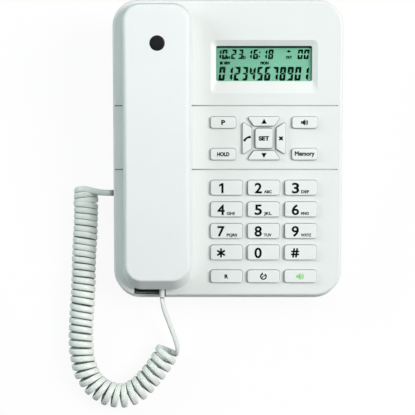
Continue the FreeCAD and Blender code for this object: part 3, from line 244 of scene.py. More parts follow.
def newMaterial(name):
    material = bpy.data.materials.new(name)
    material.use_nodes = True
    tree = material.node_tree
    return material, tree, tree.nodes["Principled BSDF"]


def groupMaterial(name, group, values, **fixed):
    material, tree, shader = newMaterial(name)
    effect = tree.nodes.new("ShaderNodeGroup")
    effect.node_tree = group
    for title, value in values.items():
        effect.inputs[title].default_value = value
    tree.links.new(effect.outputs["Color"], shader.inputs["Base Color"])
    tree.links.new(effect.outputs["Roughness"], shader.inputs["Roughness"])
    tree.links.new(effect.outputs["Normal"], shader.inputs["Normal"])
    for title, value in fixed.items():
        shader.inputs[title.replace("_", " ")].default_value = value
    return material


def plastic(name, base, shade, rough=0.4, drift=0.06, scale=1500, depth=0.02, **fixed):
    values = {"Base": base, "Shade": shade, "Grain Scale": scale, "Grain Depth": depth,
              "Rough": rough, "Rough Drift": drift}
    return groupMaterial(name, mouldGrain, values, **fixed)


def metal(name, base, shade, rough):
    return groupMaterial(name, metalBrush, {"Base": base, "Shade": shade, "Rough": rough}, Metallic=1.0)


def buildInk(name, colour, shade, sheen=0.2):
    # pad-printed ink, slightly uneven in cover
    return plastic(name, colour, shade, rough=0.6, drift=0.1, scale=2500, Specular_IOR_Level=sheen)


finishes = {
    "housing": plastic("housingWhite", tone(237, 241, 238), tone(231, 236, 233),
                       rough=0.42, scale=1300, depth=0.03),
    "handset": plastic("handsetWhite", tone(240, 244, 243), tone(234, 239, 238),
                       rough=0.5, scale=1700, depth=0.012),
    "keycap": plastic("keyWhite", tone(239, 243, 241), tone(234, 239, 237),
                      rough=0.38, scale=1900, depth=0.015),
    "silicone": plastic("matRubber", tone(205, 208, 205), tone(196, 199, 197), rough=0.6),
    "black_plastic": plastic("blackMoulding", tone(38, 39, 40), tone(30, 31, 32), rough=0.45),
    "speaker": plastic("speakerPaint", tone(44, 45, 47), tone(36, 37, 39), rough=0.5),
    "jack": plastic("socketGrey", tone(58, 60, 62), tone(48, 50, 52)),
    "plug": plastic("plugMoulding", tone(236, 240, 240), tone(228, 234, 234), rough=0.2, depth=0.005),
    "cell": plastic("cellSleeve", tone(70, 74, 80), tone(60, 64, 70), rough=0.3),
    "rubber": plastic("footRubber", tone(52, 54, 55), tone(42, 44, 45),
                      rough=0.75, drift=0.1, scale=900, depth=0.06),
    "cord": plastic("cordSkin", tone(238, 243, 237), tone(228, 235, 229), drift=0.08, scale=700),
    "steel": metal("zincSteel", tone(190, 192, 194), tone(168, 170, 172), rough=0.28),
    "aluminium": metal("drawnAluminium", tone(204, 206, 208), tone(186, 188, 190), rough=0.25),
    "weight": metal("barSteel", tone(150, 152, 154), tone(128, 130, 132), rough=0.4),
}
keyInk = buildInk("legendBlack", tone(12, 13, 13), tone(18, 19, 19), sheen=0.05)
greenInk = buildInk("legendGreen", tone(132, 216, 104), tone(146, 224, 116))
crystalInk = buildInk("crystalDark", tone(2, 22, 14), tone(4, 26, 18), sheen=0.0)
# painted shadow: dark green for the band along the top of the display, where the wall above it shades the
# crystal
crystalShadowInk = buildInk("crystalEdge", tone(10, 66, 46), tone(14, 74, 52), sheen=0.0)
goldPlate = metal("goldPlate", tone(222, 186, 104), tone(206, 168, 88), rough=0.2)
discBlack = plastic("discBlack", tone(14, 14, 15), tone(20, 20, 21),
                    rough=0.42, depth=0.01, Specular_IOR_Level=0.3)

boardFinish = {"fields": ((28, 96, 54), (32, 104, 60)), "track": (60, 132, 84), "scale": 260,
               "trackWidth": 0.03, "rough": 0.3}


def buildBoardLacquer(setup):
    # green lacquer over copper tracks
    material, tree, shader = newMaterial("boardLacquer")
    first, second = setup["fields"]
    tracks = tree.nodes.new("ShaderNodeTexBrick")
    values = {"Vector": objectPlace(tree), "Color1": tone(*first), "Color2": tone(*second),
              "Mortar": tone(*setup["track"]), "Scale": setup["scale"], "Mortar Size": setup["trackWidth"]}
    for title, value in values.items():
        feed(tree, tracks.inputs[title], value)
    tree.links.new(tracks.outputs["Color"], shader.inputs["Base Color"])
    shader.inputs["Roughness"].default_value = setup["rough"]
    return material


screenFinish = {"lowY": 0.046, "highY": 0.073, "low": (150, 218, 186), "high": (132, 202, 170),
                "grainScale": 2600, "grainDetail": 2, "speckle": 0.25, "rough": 0.35}


def buildScreenGreen(setup):
    # backing of the liquid crystal, a little lighter towards its lower edge
    material, tree, shader = newMaterial("screenGreen")
    place = objectPlace(tree)
    parted = tree.nodes.new("ShaderNodeSeparateXYZ")
    tree.links.new(place, parted.inputs["Vector"])
    rise = rangeNode(tree, parted.outputs["Y"], setup["lowY"], setup["highY"])
    grain = noiseNode(tree, place, setup["grainScale"], setup["grainDetail"])
    speckle = mathNode(tree, "MULTIPLY", mathNode(tree, "SUBTRACT", grain, noiseMiddle), setup["speckle"])
    factor = mathNode(tree, "ADD", rise, speckle)
    tint = colourMix(tree, factor, tone(*setup["low"]), tone(*setup["high"]))
    tree.links.new(tint, shader.inputs["Base Color"])
    shader.inputs["Roughness"].default_value = setup["rough"]
    return material


lensFinish = {"Base Color": (0.97, 1.0, 0.985, 1), "Roughness": 0.03, "IOR": 1.49, "Transmission Weight": 1.0}


def buildClearLens(setup):
    # clear acrylic: light passes straight through it on its way to the display
    material, tree, shader = newMaterial("clearLens")
    for title, value in setup.items():
        shader.inputs[title].default_value = value
    path = tree.nodes.new("ShaderNodeLightPath")
    clear = tree.nodes.new("ShaderNodeBsdfTransparent")
    mixed = shaderMix(tree, path.outputs["Is Shadow Ray"], shader.outputs["BSDF"], clear.outputs["BSDF"])
    tree.links.new(mixed, tree.nodes["Material Output"].inputs["Surface"])
    return material


# painted shade in crevices, finish by finish: how far the occlusion reaches, how open a place is that keeps
# its colour, and what the tightest place keeps
creviceShadeSetup = {
    "samples": 12, "tightest": 0.2,
    "places": [("housing", 0.0025, 0.7, 0.85), ("housing", 0.02, 0.5, 0.03), ("handset", 0.002, 0.7, 0.4),
               ("keycap", 0.004, 0.95, 0.1), ("cord", 0.012, 0.75, 0.03)],
}


def paintCreviceShade(material, reach, free, least):
    # painted shade: the base colour is darkened where ambient occlusion finds grooves, seams, the gaps round
    # keys, the cord notch, the base beside the handset, the flanks near the floor and the inside of the coiled
    # cord
    tree = material.node_tree
    base = tree.nodes["Principled BSDF"].inputs["Base Color"]
    near = tree.nodes.new("ShaderNodeAmbientOcclusion")
    near.samples = creviceShadeSetup["samples"]
    near.inputs["Distance"].default_value = reach
    kept = rangeNode(tree, near.outputs["AO"], creviceShadeSetup["tightest"], free, least)
    tree.links.new(colourMix(tree, 1.0, base.links[0].from_socket, kept, "MULTIPLY"), base)


# painted shade in the crevices of the housing, handset, keys and cord
for title, reach, free, least in creviceShadeSetup["places"]:
    paintCreviceShade(finishes[title], reach, free, least)
finishes["board"] = buildBoardLacquer(boardFinish)
finishes["display"] = buildScreenGreen(screenFinish)
finishes["lens"] = buildClearLens(lensFinish)
print("finishes made:", len(finishes))

nodeSlots = {part["node"]: part["material_slot"] for part in frame["record"]["subparts"]}
for node, piece in cadNodes.items():
    piece.data.materials.clear()
    piece.data.materials.append(finishes[nodeSlots[node]])
print("finishes on the nodes")


# curly cord: base tail, coil and handset tail, in metres, its winding in degrees
cordSetup = {
    "baseTail": [(-0.0803, -0.028, 0.0162), (-0.0860, -0.028, 0.0162), (-0.0926, -0.0277, 0.0165)],
    "coil": [(-0.1025, -0.025), (-0.1023, -0.048), (-0.1038, -0.074), (-0.1039, -0.100), (-0.1056, -0.124),
             (-0.1052, -0.144), (-0.1005, -0.160), (-0.091, -0.170), (-0.077, -0.1745), (-0.065, -0.1705),
             (-0.0545, -0.159), (-0.047, -0.149), (-0.0423, -0.1405)],
    "handsetTail": [(-0.0356, -0.1384, 0.0105), (-0.0384, -0.130, 0.0136), (-0.0416, -0.1212, 0.0172),
                    (-0.0446, -0.1132, 0.0210), (-0.0462, -0.1076, 0.0235), (-0.0466, -0.1033, 0.0243)],
    "axisHeight": 0.0090, "axisSteps": 24, "turnRadius": 0.00772, "pointsPerTurn": 14, "pointSteps": 2,
    "firstTurns": 850.0, "mainTurns": 14060.0, "reverseEase": 100.0, "loosening": 0.2,
    "swell": (-0.00016, 0.0001), "lean": (-0.0003, 0.0003), "seed": 11,
    "width": 0.0044, "thickness": 0.0026, "edgeSteps": 5, "baseFlat": (0, 0, 1),
    "handsetFlat": (0.93, -0.25, 0.2), "flatReach": 0.001, "length": 2.03,
    "blendEnd": (-0.0241, -0.0774, 0.0162),
}
upward = Vector((0, 0, 1))


def routeSpline(name, points, steps):
    curve = bpy.data.curves.new(name, "CURVE")
    curve.dimensions = "3D"
    curve.resolution_u = steps
    spline = curve.splines.new("NURBS")
    spline.points.add(len(points) - 1)
    for spot, point in zip(spline.points, points):
        spot.co = (*point, 1.0)
    spline.order_u = 3
    spline.use_endpoint_u = True
    mesh = curveMesh(curve)
    line = [vertex.co.copy() for vertex in mesh.vertices]
    bpy.data.meshes.remove(mesh)
    return line


def alongLine(line):
    marks = [0.0]
    for first, second in zip(line, line[1:]):
        marks.append(marks[-1] + (second - first).length)
    return marks


def woundAngle(degrees, setup):
    # a few turns wind one way, then the winding slows, stops and runs back the other way
    past, ease = degrees - setup["firstTurns"], setup["reverseEase"]
    if abs(past) < ease:
        return setup["firstTurns"] - ease / 2 - past * past / (2 * ease)
    return setup["firstTurns"] - abs(past)


def curlyPoints(setup):
    # points of the winding, and the way out from its axis at each of them
    axis = routeSpline("coilAxis", [(x, y, setup["axisHeight"]) for x, y in setup["coil"]], setup["axisSteps"])
    marks = alongLine(axis)
    dice = random.Random(setup["seed"])
    turns = setup["firstTurns"] + setup["mainTurns"]
    count = int(turns / 360 * setup["pointsPerTurn"])
    centre, outward = [], []
    swell, lean = 0.0, 0.0
    index = 0
    for step in range(count + 1):
        share = step / count
        distance = (share + setup["loosening"] * (share * share - share)) * marks[-1]
        while index < len(marks) - 2 and marks[index + 1] < distance:
            index += 1
        gap = marks[index + 1] - marks[index]
        spot = axis[index].lerp(axis[index + 1], (distance - marks[index]) / gap)
        along = (axis[index + 1] - axis[index]).normalized()
        angle = math.radians(woundAngle(share * turns, setup))
        if step % setup["pointsPerTurn"] == 0:
            swell, lean = dice.uniform(*setup["swell"]), dice.uniform(*setup["lean"])
        spoke = upward * math.cos(angle) + along.cross(upward) * math.sin(angle)
        centre.append(spot + spoke * (setup["turnRadius"] + swell) + along * lean * math.cos(angle))
        outward.append(spoke)
    return centre, outward


def cordSection(setup):
    # one rounded edge of the flat cord, then the same turned about its middle
    radius = setup["thickness"] / 2
    corners = []
    for step in range(setup["edgeSteps"] + 1):
        turn = math.radians(-90 + step * 180 / setup["edgeSteps"])
        corners.append(((setup["width"] - setup["thickness"]) / 2 + radius * math.cos(turn),
                        radius * math.sin(turn)))
    return corners + [(-across, -lift) for across, lift in corners]


def buildCord(setup):
    coil, spokes = curlyPoints(setup)
    points = [Vector(point) for point in setup["baseTail"]] + coil
    points += [Vector(point) for point in setup["handsetTail"]]
    flats = [Vector(setup["baseFlat"])] * len(setup["baseTail"]) + spokes
    flats += [Vector(setup["handsetFlat"])] * len(setup["handsetTail"])
    beside = [point + flat * setup["flatReach"] for point, flat in zip(points, flats)]
    middle = routeSpline("cordMiddle", points, setup["pointSteps"])
    outer = routeSpline("cordOuter", beside, setup["pointSteps"])
    corners = cordSection(setup)
    shape = bmesh.new()
    rings = []
    for index, spot in enumerate(middle):
        ahead = middle[min(index + 1, len(middle) - 1)] - middle[max(index - 1, 0)]
        ahead.normalize()
        lift = outer[index] - spot
        lift = (lift - ahead * lift.dot(ahead)).normalized()
        across = ahead.cross(lift)
        rings.append([shape.verts.new(spot + across * x + lift * y) for x, y in corners])
    bridgeRings(shape, rings)
    for face in shape.faces:
        face.smooth = True
    shape.faces.new(list(reversed(rings[0])))
    shape.faces.new(rings[-1])
    bmesh.ops.recalc_face_normals(shape, faces=shape.faces)
    return addObject("curlyCord", shapeMesh("curlyCord", shape), finishes["cord"]), middle


curlyCord, cordLine = buildCord(cordSetup)
print("curly cord:", round(alongLine(cordLine)[-1], 3), "m")
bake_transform(curlyCord)
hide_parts("cord_coil", "cord_base_tail", "cord_handset_tail")


# printed legends and signs, in millimetres
letterSetup = {"size": 10.0, "merge": 0.0001, "mitre": 0.4}
printSetup = {"thick": 0.05, "merge": 0.0005}


def flatMesh(name, outlines):
    # filled outlines; one lying inside another is a hole
    curve = bpy.data.curves.new(name, "CURVE")
    curve.dimensions = "2D"
    curve.fill_mode = "BOTH"
    for outline in outlines:
        spline = curve.splines.new("POLY")
        spline.points.add(len(outline) - 1)
        for spot, (x, y) in zip(spline.points, outline):
            spot.co = (x, y, 0, 1)
        spline.use_cyclic_u = True
    return curveMesh(curve)


def emboldened(mesh, amount):
    # strokes thickened by moving their outlines outwards
    shape = bmesh.new()
    shape.from_mesh(mesh)
    bmesh.ops.remove_doubles(shape, verts=shape.verts, dist=letterSetup["merge"])
    moves = []
    for vert in shape.verts:
        normals = []
        for edge in vert.link_edges:
            if edge.is_boundary:
                along = (edge.other_vert(vert).co - vert.co).normalized()
                away = Vector((along.y, -along.x, 0))
                inside = edge.link_faces[0].calc_center_median() - vert.co
                normals.append(-away if away.dot(inside) > 0 else away)
        if len(normals) == 2:
            lean = (normals[0] + normals[1]).normalized()
            moves.append((vert, lean * amount / max(lean.dot(normals[0]), letterSetup["mitre"])))
    for vert, move in moves:
        vert.co += move
    shape.to_mesh(mesh)
    shape.free()


def letterMesh(text, bold):
    curve = bpy.data.curves.new("word", "FONT")
    curve.body = text
    curve.size = letterSetup["size"]
    mesh = curveMesh(curve)
    emboldened(mesh, bold)
    return mesh


def extent(mesh, axis):
    values = [vertex.co[axis] for vertex in mesh.vertices]
    return min(values), max(values)


def wordMesh(text, height, bold, width=None):
    # built-in letters with the cap height asked for, and the width where one is given
    measure = letterMesh("H", bold)
    foot, top = extent(measure, 1)
    bpy.data.meshes.remove(measure)
    mesh = letterMesh(text, bold)
    left, right = extent(mesh, 0)
    size = height / (top - foot)
    mesh.transform(Matrix.Diagonal((width / (right - left) if width else size, size, 1, 1)))
    return mesh


def placed(mesh, x, y, align="centre", level=True):
    # moved so that its middle, or its left edge, is at x, and its middle or its foot at y
    left, right = extent(mesh, 0)
    foot, top = extent(mesh, 1)
    fromX = (left + right) / 2 if align == "centre" else left
    fromY = (foot + top) / 2 if level else 0.0
    mesh.transform(Matrix.Translation((x - fromX, y - fromY, 0)))
    return mesh


def printedPiece(name, meshes, u, v, n, material, thick=printSetup["thick"]):
    # thin print: flat shapes given a little thickness and set on the face
    shape = bmesh.new()
    for mesh in meshes:
        shape.from_mesh(mesh)
        bpy.data.meshes.remove(mesh)
    bmesh.ops.remove_doubles(shape, verts=shape.verts, dist=printSetup["merge"])
    bmesh.ops.dissolve_degenerate(shape, edges=shape.edges, dist=printSetup["merge"])
    grown = bmesh.ops.extrude_face_region(shape, geom=list(shape.faces))
    for item in grown["geom"]:
        if isinstance(item, bmesh.types.BMVert):
            item.co.z += thick
    bmesh.ops.recalc_face_normals(shape, faces=shape.faces)
    mesh = shapeMesh(name, shape)
    mesh.transform(toMetres)
    mesh.transform(faceMatrix @ Matrix.Translation((u / 1000, v / 1000, n / 1000)))
    return addObject(name, mesh, material)


keyBlock = {
    "u": 25.3, "pitchU": 26.15, "pitchV": 15.3, "firstV": -26.6, "lowerV": -89.5, "top": 1.99,
    "functionSpread": 28.55, "functionRise": 11.1, "navV": 8.1, "navReach": 11.85,
}
dialLegend = {
    "digitHeight": 7.3, "digitWidth": 5.1, "digitBold": 0.24, "digitShift": -3.85, "digitDrop": -0.2,
    "lettersHeight": 2.1, "lettersBold": 0.42, "lettersLeft": 0.1, "lettersFoot": -3.7, "letterWidth": 1.85,
    "rows": [[("1", ""), ("2", "ABC"), ("3", "DEF")], [("4", "GHI"), ("5", "JKL"), ("6", "MNO")],
             [("7", "PQRS"), ("8", "TUV"), ("9", "WXYZ")], [("star", ""), ("0", ""), ("hash", "")]],
    "oneOutline": [(0.0, -3.5), (1.5, -3.5), (1.5, 3.5), (0.35, 3.5), (-1.65, 2.35), (-1.65, 1.05),
                   (0.0, 1.75)],
    "oneShift": 0.2, "starBar": (6.4, 1.25), "starAngles": (90, 32, 148),
    "hashUpright": (6.6, 1.25, 82), "hashLevel": (5.6, 1.15, 0), "hashSpread": 1.05,
}
# bands: radius, width, first and last angle; handsets: size and turn; loudspeakers: size and waves
signs = {
    "grip": (3.6, 1.5, 48, 132), "gripDrop": -3.2,
    "gripEnd": [(1.2, -0.45), (3.0, -1.55), (3.55, 0.3), (2.1, 1.05)],
    "box": [(-2.2, -0.7), (-1.3, -0.7), (-1.3, 0.7), (-2.2, 0.7)],
    "horn": [(-1.2, -0.75), (0.1, -1.75), (0.1, 1.75), (-1.2, 0.75)],
    "waveWidth": 0.5, "waveSpread": 44, "waveShift": -0.5,
    "redialRing": (1.95, 0.9, 118, 420), "redialHead": [(-2.2, 1.05), (-0.05, 1.1), (-0.6, 3.15)],
    "redialHandset": (0.4, 35), "callHandset": (0.85, 32),
    "speaker": (1.35, (1.2, 2.05)), "volume": (1.25, (1.15, 1.95)),
    "arrow": [(-1.9, -1.6), (1.9, -1.6), (0, 1.8)], "deleteBar": (3.4, 1.1), "deleteAngles": (45, -45),
}


def bar(length, width, degrees):
    turn = Matrix.Rotation(math.radians(degrees), 2)
    corners = [(-length / 2, -width / 2), (length / 2, -width / 2), (length / 2, width / 2),
               (-length / 2, width / 2)]
    return [tuple(turn @ Vector(corner)) for corner in corners]


def arcBand(radius, width, first, last, x=0.0, y=0.0, steps=20):
    angles = [math.radians(first + (last - first) * step / steps) for step in range(steps + 1)]
    outside, inside = ([(x + reach * math.cos(angle), y + reach * math.sin(angle)) for angle in angles]
                       for reach in (radius + width / 2, radius - width / 2))
    return outside + inside[::-1]


def turned(outline, degrees, x=0.0, y=0.0, size=1.0):
    turn = Matrix.Rotation(math.radians(degrees), 2)
    return [tuple(turn @ Vector((px * size, py * size)) + Vector((x, y))) for px, py in outline]


def signMeshes(outlines):
    return [flatMesh("sign", [outline]) for outline in outlines]


def handsetSign(size, degrees):
    grip = arcBand(*signs["grip"], y=signs["gripDrop"])
    ends = [[(side * x, y) for x, y in signs["gripEnd"]] for side in (-1, 1)]
    return signMeshes(turned(outline, degrees, size=size) for outline in [grip] + ends)


def loudSign(size, waves):
    spread = signs["waveSpread"]
    outlines = [signs["box"], signs["horn"]]
    outlines += [arcBand(radius, signs["waveWidth"], -spread, spread, signs["waveShift"]) for radius in waves]
    return signMeshes(turned(outline, 0, size=size) for outline in outlines)


def redialSign():
    return (signMeshes([arcBand(*signs["redialRing"]), signs["redialHead"]])
            + handsetSign(*signs["redialHandset"]))


def dialSign(name, legend):
    shift, drop, spread = legend["digitShift"], legend["digitDrop"], legend["hashSpread"]
    if name == "1":
        return signMeshes([turned(legend["oneOutline"], 0, shift + legend["oneShift"], drop)])
    if name == "star":
        return signMeshes(turned(bar(*legend["starBar"], angle), 0, shift, drop)
                          for angle in legend["starAngles"])
    if name == "hash":
        strokes = [turned(bar(*legend["hashUpright"]), 0, shift + side * spread, drop) for side in (-1, 1)]
        strokes += [turned(bar(*legend["hashLevel"]), 0, shift, drop + side * spread) for side in (-1, 1)]
        return signMeshes(strokes)
    digit = wordMesh(name, legend["digitHeight"], legend["digitBold"], legend["digitWidth"])
    return [placed(digit, shift, drop)]


# each key's printed shapes, its place on the face and its ink
keyParts = {}
for row, names in enumerate(dialLegend["rows"]):
    for column, (name, letters) in enumerate(names):
        parts = dialSign(name, dialLegend)
        if letters:
            word = wordMesh(letters, dialLegend["lettersHeight"], dialLegend["lettersBold"],
                            dialLegend["letterWidth"] * len(letters))
            parts.append(placed(word, dialLegend["lettersLeft"], dialLegend["lettersFoot"], "left", False))
        keyParts["key_" + name] = (parts, keyBlock["u"] + (column - 1) * keyBlock["pitchU"],
                                   keyBlock["firstV"] - row * keyBlock["pitchV"], keyInk)

# words on the other keys: cap height, boldness and width
keyWords = {"flash": ("R", 3.0, 0.55, 2.7), "pause": ("P", 3.4, 0.42, 2.7), "hold": ("HOLD", 2.8, 0.5, 8.6),
            "memory": ("Memory", 3.2, 0.38, 14.0), "set": ("SET", 3.1, 0.52, 7.5)}
lowerV, navU, navV, navReach = (keyBlock[title] for title in ("lowerV", "u", "navV", "navReach"))
lowerU = [keyBlock["u"] + column * keyBlock["pitchU"] for column in (-1, 0, 1)]
keySpots = {"flash": (lowerU[0], lowerV), "set": (navU, navV)}
for name, side, level in (("pause", -1, 1), ("hold", -1, -1), ("volume", 1, 1), ("memory", 1, -1)):
    keySpots[name] = (navU + side * keyBlock["functionSpread"], navV + level * keyBlock["functionRise"])
for name, (word, height, bold, width) in keyWords.items():
    keyParts["key_" + name] = ([placed(wordMesh(word, height, bold, width), 0, 0)], *keySpots[name], keyInk)
keyParts["key_redial"] = (redialSign(), lowerU[1], lowerV, keyInk)
keyParts["key_speaker"] = (loudSign(*signs["speaker"]), lowerU[2], lowerV, greenInk)
keyParts["key_volume"] = (loudSign(*signs["volume"]), *keySpots["volume"], keyInk)
keyParts["key_up"] = (signMeshes([signs["arrow"]]), navU, navV + navReach, keyInk)
keyParts["key_down"] = (signMeshes([turned(signs["arrow"], 180)]), navU, navV - navReach, keyInk)
keyParts["key_call"] = (handsetSign(*signs["callHandset"]), navU - navReach, navV, keyInk)
keyParts["key_delete"] = (signMeshes(bar(*signs["deleteBar"], angle) for angle in signs["deleteAngles"]),
                          navU + navReach, navV, keyInk)
for key, (parts, u, v, ink) in keyParts.items():
    legend = printedPiece(key.replace("key_", "legend_"), parts, u, v, keyBlock["top"], ink)
    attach(legend, key)
print("legends:", len(keyParts))


# liquid crystal: seven-bar figures in two lines, with small words and marks, and a painted shadow band along
# its top
crystal = {
    "u": 25.3, "v": 60.2, "level": -4.19, "thick": 0.03, "left": -33.6, "slant": 0.10,
    "cut": 0.32, "gap": 0.01, "split": 0.12,
    "upper": {"height": 6.7, "width": 3.5, "bar": 1.32, "foot": 3.1,
              "figures": [("1", -0.1), ("0", 4.05), ("2", 10.35), ("3", 15.2), ("1", 21.4), ("6", 25.75),
                          ("1", 32.0), ("8", 36.3), ("0", 56.9), ("0", 61.2)]},
    "lower": {"height": 9.6, "width": 4.2, "bar": 1.66, "foot": -11.85, "first": 1.65, "pitch": 5.32,
              "text": "012345678901"},
    "words": [("M", 8.7, 4.1, 2.2, 2.1), ("D", 19.9, 4.2, 2.2, 1.9), ("NEW", 7.8, 0.4, 2.1, 4.6),
              ("MON", 34.0, 0.4, 2.2, 5.8), ("OUT", 51.1, 4.4, 2.0, 4.4)], "wordBold": 0.85,
    "marks": [(30.3, 4.9, 1.0, 1.0), (30.6, 7.8, 1.0, 1.0), (50.9, 8.5, 1.7, 1.5), (50.9, 8.5, 3.4, 0.4),
              (3.7, 0.4, 2.0, 2.1)],
    # painted shadow band along the top of the display
    "strip": [(-33.5, 10.75), (33.5, 10.75), (33.5, 12.2), (-33.5, 12.2)],
}
lit = {"0": "abcdef", "1": "bc", "2": "abged", "3": "abgcd", "4": "fgbc", "5": "afgcd", "6": "afgedc",
       "7": "abc", "8": "abcdefg", "9": "abcdfg"}


def figureBars(figure, line):
    # bars a to g, mitred where they meet
    width, height, thick = line["width"], line["height"], line["bar"]
    middle, half = height / 2, thick / 2
    cut, gap, split = (thick * crystal[share] for share in ("cut", "gap", "split"))
    under = height - thick
    rise, sink = middle + half - split, middle - half + split
    upper = [(0, middle + split), (0, height - cut), (cut / 2, height - cut / 2 - gap), (thick, under - gap),
             (thick, middle + half + gap)]
    lower = [(x, height - y) for x, y in upper]
    across = [(cut, height), (width - cut, height), (width - cut / 2 - gap, height - cut / 2),
              (width - thick - gap, under), (thick + gap, under), (cut / 2 + gap, height - cut / 2)]
    places = {
        "a": across, "d": [(x, height - y) for x, y in across],
        "g": [(split, middle), (thick, rise), (width - thick, rise), (width - split, middle),
              (width - thick, sink), (thick, sink)],
        "f": upper, "e": lower,
        "b": [(width - x, y) for x, y in upper], "c": [(width - x, y) for x, y in lower]}
    return [[(x + y * crystal["slant"], y) for x, y in places[letter]] for letter in lit[figure]]


def crystalShapes():
    shapes = []
    upper, lower = crystal["upper"], crystal["lower"]
    lowerFigures = [(figure, lower["first"] + index * lower["pitch"])
                    for index, figure in enumerate(lower["text"])]
    for line, figures in ((upper, upper["figures"]), (lower, lowerFigures)):
        for figure, start in figures:
            for shape in figureBars(figure, line):
                shapes.append([(crystal["left"] + start + x, line["foot"] + y) for x, y in shape])
    for x, y, wide, tall in crystal["marks"]:
        left = crystal["left"] + x
        shapes.append([(left - wide / 2, y - tall / 2), (left + wide / 2, y - tall / 2),
                       (left + wide / 2, y + tall / 2), (left - wide / 2, y + tall / 2)])
    return shapes


crystalParts = [flatMesh("bar", [shape]) for shape in crystalShapes()]
for word, x, y, height, width in crystal["words"]:
    crystalParts.append(placed(wordMesh(word, height, crystal["wordBold"], width), crystal["left"] + x, y))
figures = printedPiece("crystalFigures", crystalParts, crystal["u"], crystal["v"], crystal["level"],
                       crystalInk, crystal["thick"])
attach(figures, "base")
# painted shadow: a dark band laid on the display's top edge, where the wall above it shades the crystal
edge = printedPiece("crystalBorder", [flatMesh("strip", [crystal["strip"]])], crystal["u"], crystal["v"],
                    crystal["level"] + crystal["thick"], crystalShadowInk, crystal["thick"])
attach(edge, "base")
print("liquid crystal: shapes", len(crystalParts))


# turned pieces and small hardware, in millimetres

def finishedMesh(name, shape, sharp=35, merge=0.0005):
    bmesh.ops.remove_doubles(shape, verts=shape.verts, dist=merge)
    bmesh.ops.recalc_face_normals(shape, faces=shape.faces)
    for face in shape.faces:
        face.smooth = True
    mesh = shapeMesh(name, shape)
    mesh.set_sharp_from_angle(angle=math.radians(sharp))
    return mesh


def latheMesh(name, profile, steps=36):
    # profile of radius and height; a ring of no radius is one point
    shape = bmesh.new()
    rings = []
    for radius, height in profile:
        turns = [2 * math.pi * step / steps for step in range(steps if radius else 1)]
        rings.append([shape.verts.new((radius * math.cos(turn), radius * math.sin(turn), height))
                      for turn in turns])
    for first, second in zip(rings, rings[1:]):
        for step in range(steps):
            corners = [ring[at % len(ring)] for ring, at in ((first, step), (first, step + 1),
                                                             (second, step + 1), (second, step))]
            shape.faces.new(list(dict.fromkeys(corners)))
    return finishedMesh(name, shape)


# shares of a screw's head, of the head's height and of the shank
screwShape = {"cap": 0.82, "shoulder": 0.95, "shoulderRise": 0.16, "wallRise": 0.4, "tip": 0.25, "steps": 36}


def screwMesh(name, setup):
    # pan head with a cross recess; the seat is at height 0 and the head hangs below it
    head, tall, shank, long = setup["head"], setup["tall"], setup["shank"], setup["long"]
    low, cap, steps = -tall, head * screwShape["cap"], screwShape["steps"]
    deep = low + setup["deep"]
    shape = bmesh.new()
    body = latheMesh("screwBody", [
        (cap, low), (head * screwShape["shoulder"], low + tall * screwShape["shoulderRise"]),
        (head, low + tall * screwShape["wallRise"]), (head, 0), (shank, 0), (shank, long - shank),
        (shank * screwShape["tip"], long), (0, long)], steps)
    turns = [2 * math.pi * step / steps for step in range(steps)]
    ring = [(cap * math.cos(turn), cap * math.sin(turn)) for turn in turns]
    arm, half = head * setup["arm"], head * setup["slot"]
    quarter = [(arm, -half), (arm, half), (half, half)]
    cross = [point for turn in (0, 90, 180, 270) for point in turned(quarter, turn)]
    top = flatMesh("screwTop", [ring, cross])
    top.transform(Matrix.Translation((0, 0, low)))
    floor = flatMesh("screwFloor", [cross])
    floor.transform(Matrix.Translation((0, 0, deep)))
    for mesh in (body, top, floor):
        shape.from_mesh(mesh)
        bpy.data.meshes.remove(mesh)
    for first, second in zip(cross, cross[1:] + cross[:1]):
        wall = ((first, low), (second, low), (second, deep), (first, deep))
        shape.faces.new([shape.verts.new((x, y, z)) for (x, y), z in wall])
    return finishedMesh(name, shape)


def buildSpreadTree():
    # sets a piece on each point, each turned by its own share of the largest turn
    tree = bpy.data.node_groups.new("hardwareSpread", "GeometryNodeTree")
    inputs = {}
    for title, kind in (("Places", "Geometry"), ("Piece", "Object"), ("Turn", "Float"), ("Seed", "Int"),
                        ("Finish", "Material")):
        socket = tree.interface.new_socket(title, in_out="INPUT", socket_type="NodeSocket" + kind)
        inputs[title] = socket.identifier
    tree.interface.new_socket("Result", in_out="OUTPUT", socket_type="NodeSocketGeometry")
    nodes, links = tree.nodes, tree.links
    start, end = nodes.new("NodeGroupInput"), nodes.new("NodeGroupOutput")
    source = nodes.new("GeometryNodeObjectInfo")
    points = nodes.new("GeometryNodeMeshToPoints")
    spin = nodes.new("FunctionNodeRandomValue")
    turn = nodes.new("ShaderNodeCombineXYZ")
    spread = nodes.new("GeometryNodeInstanceOnPoints")
    real = nodes.new("GeometryNodeRealizeInstances")
    paint = nodes.new("GeometryNodeSetMaterial")
    links.new(start.outputs["Piece"], source.inputs["Object"])
    links.new(start.outputs["Places"], points.inputs["Mesh"])
    links.new(start.outputs["Turn"], spin.inputs[3])  # the largest of the float values
    links.new(start.outputs["Seed"], spin.inputs["Seed"])
    links.new(spin.outputs[1], turn.inputs["Z"])
    links.new(points.outputs["Points"], spread.inputs["Points"])
    links.new(source.outputs["Geometry"], spread.inputs["Instance"])
    links.new(turn.outputs["Vector"], spread.inputs["Rotation"])
    links.new(spread.outputs["Instances"], real.inputs["Geometry"])
    links.new(real.outputs["Geometry"], paint.inputs["Geometry"])
    links.new(start.outputs["Finish"], paint.inputs["Material"])
    links.new(paint.outputs["Geometry"], end.inputs["Result"])
    return tree, inputs


spreadTree, spreadInputs = buildSpreadTree()


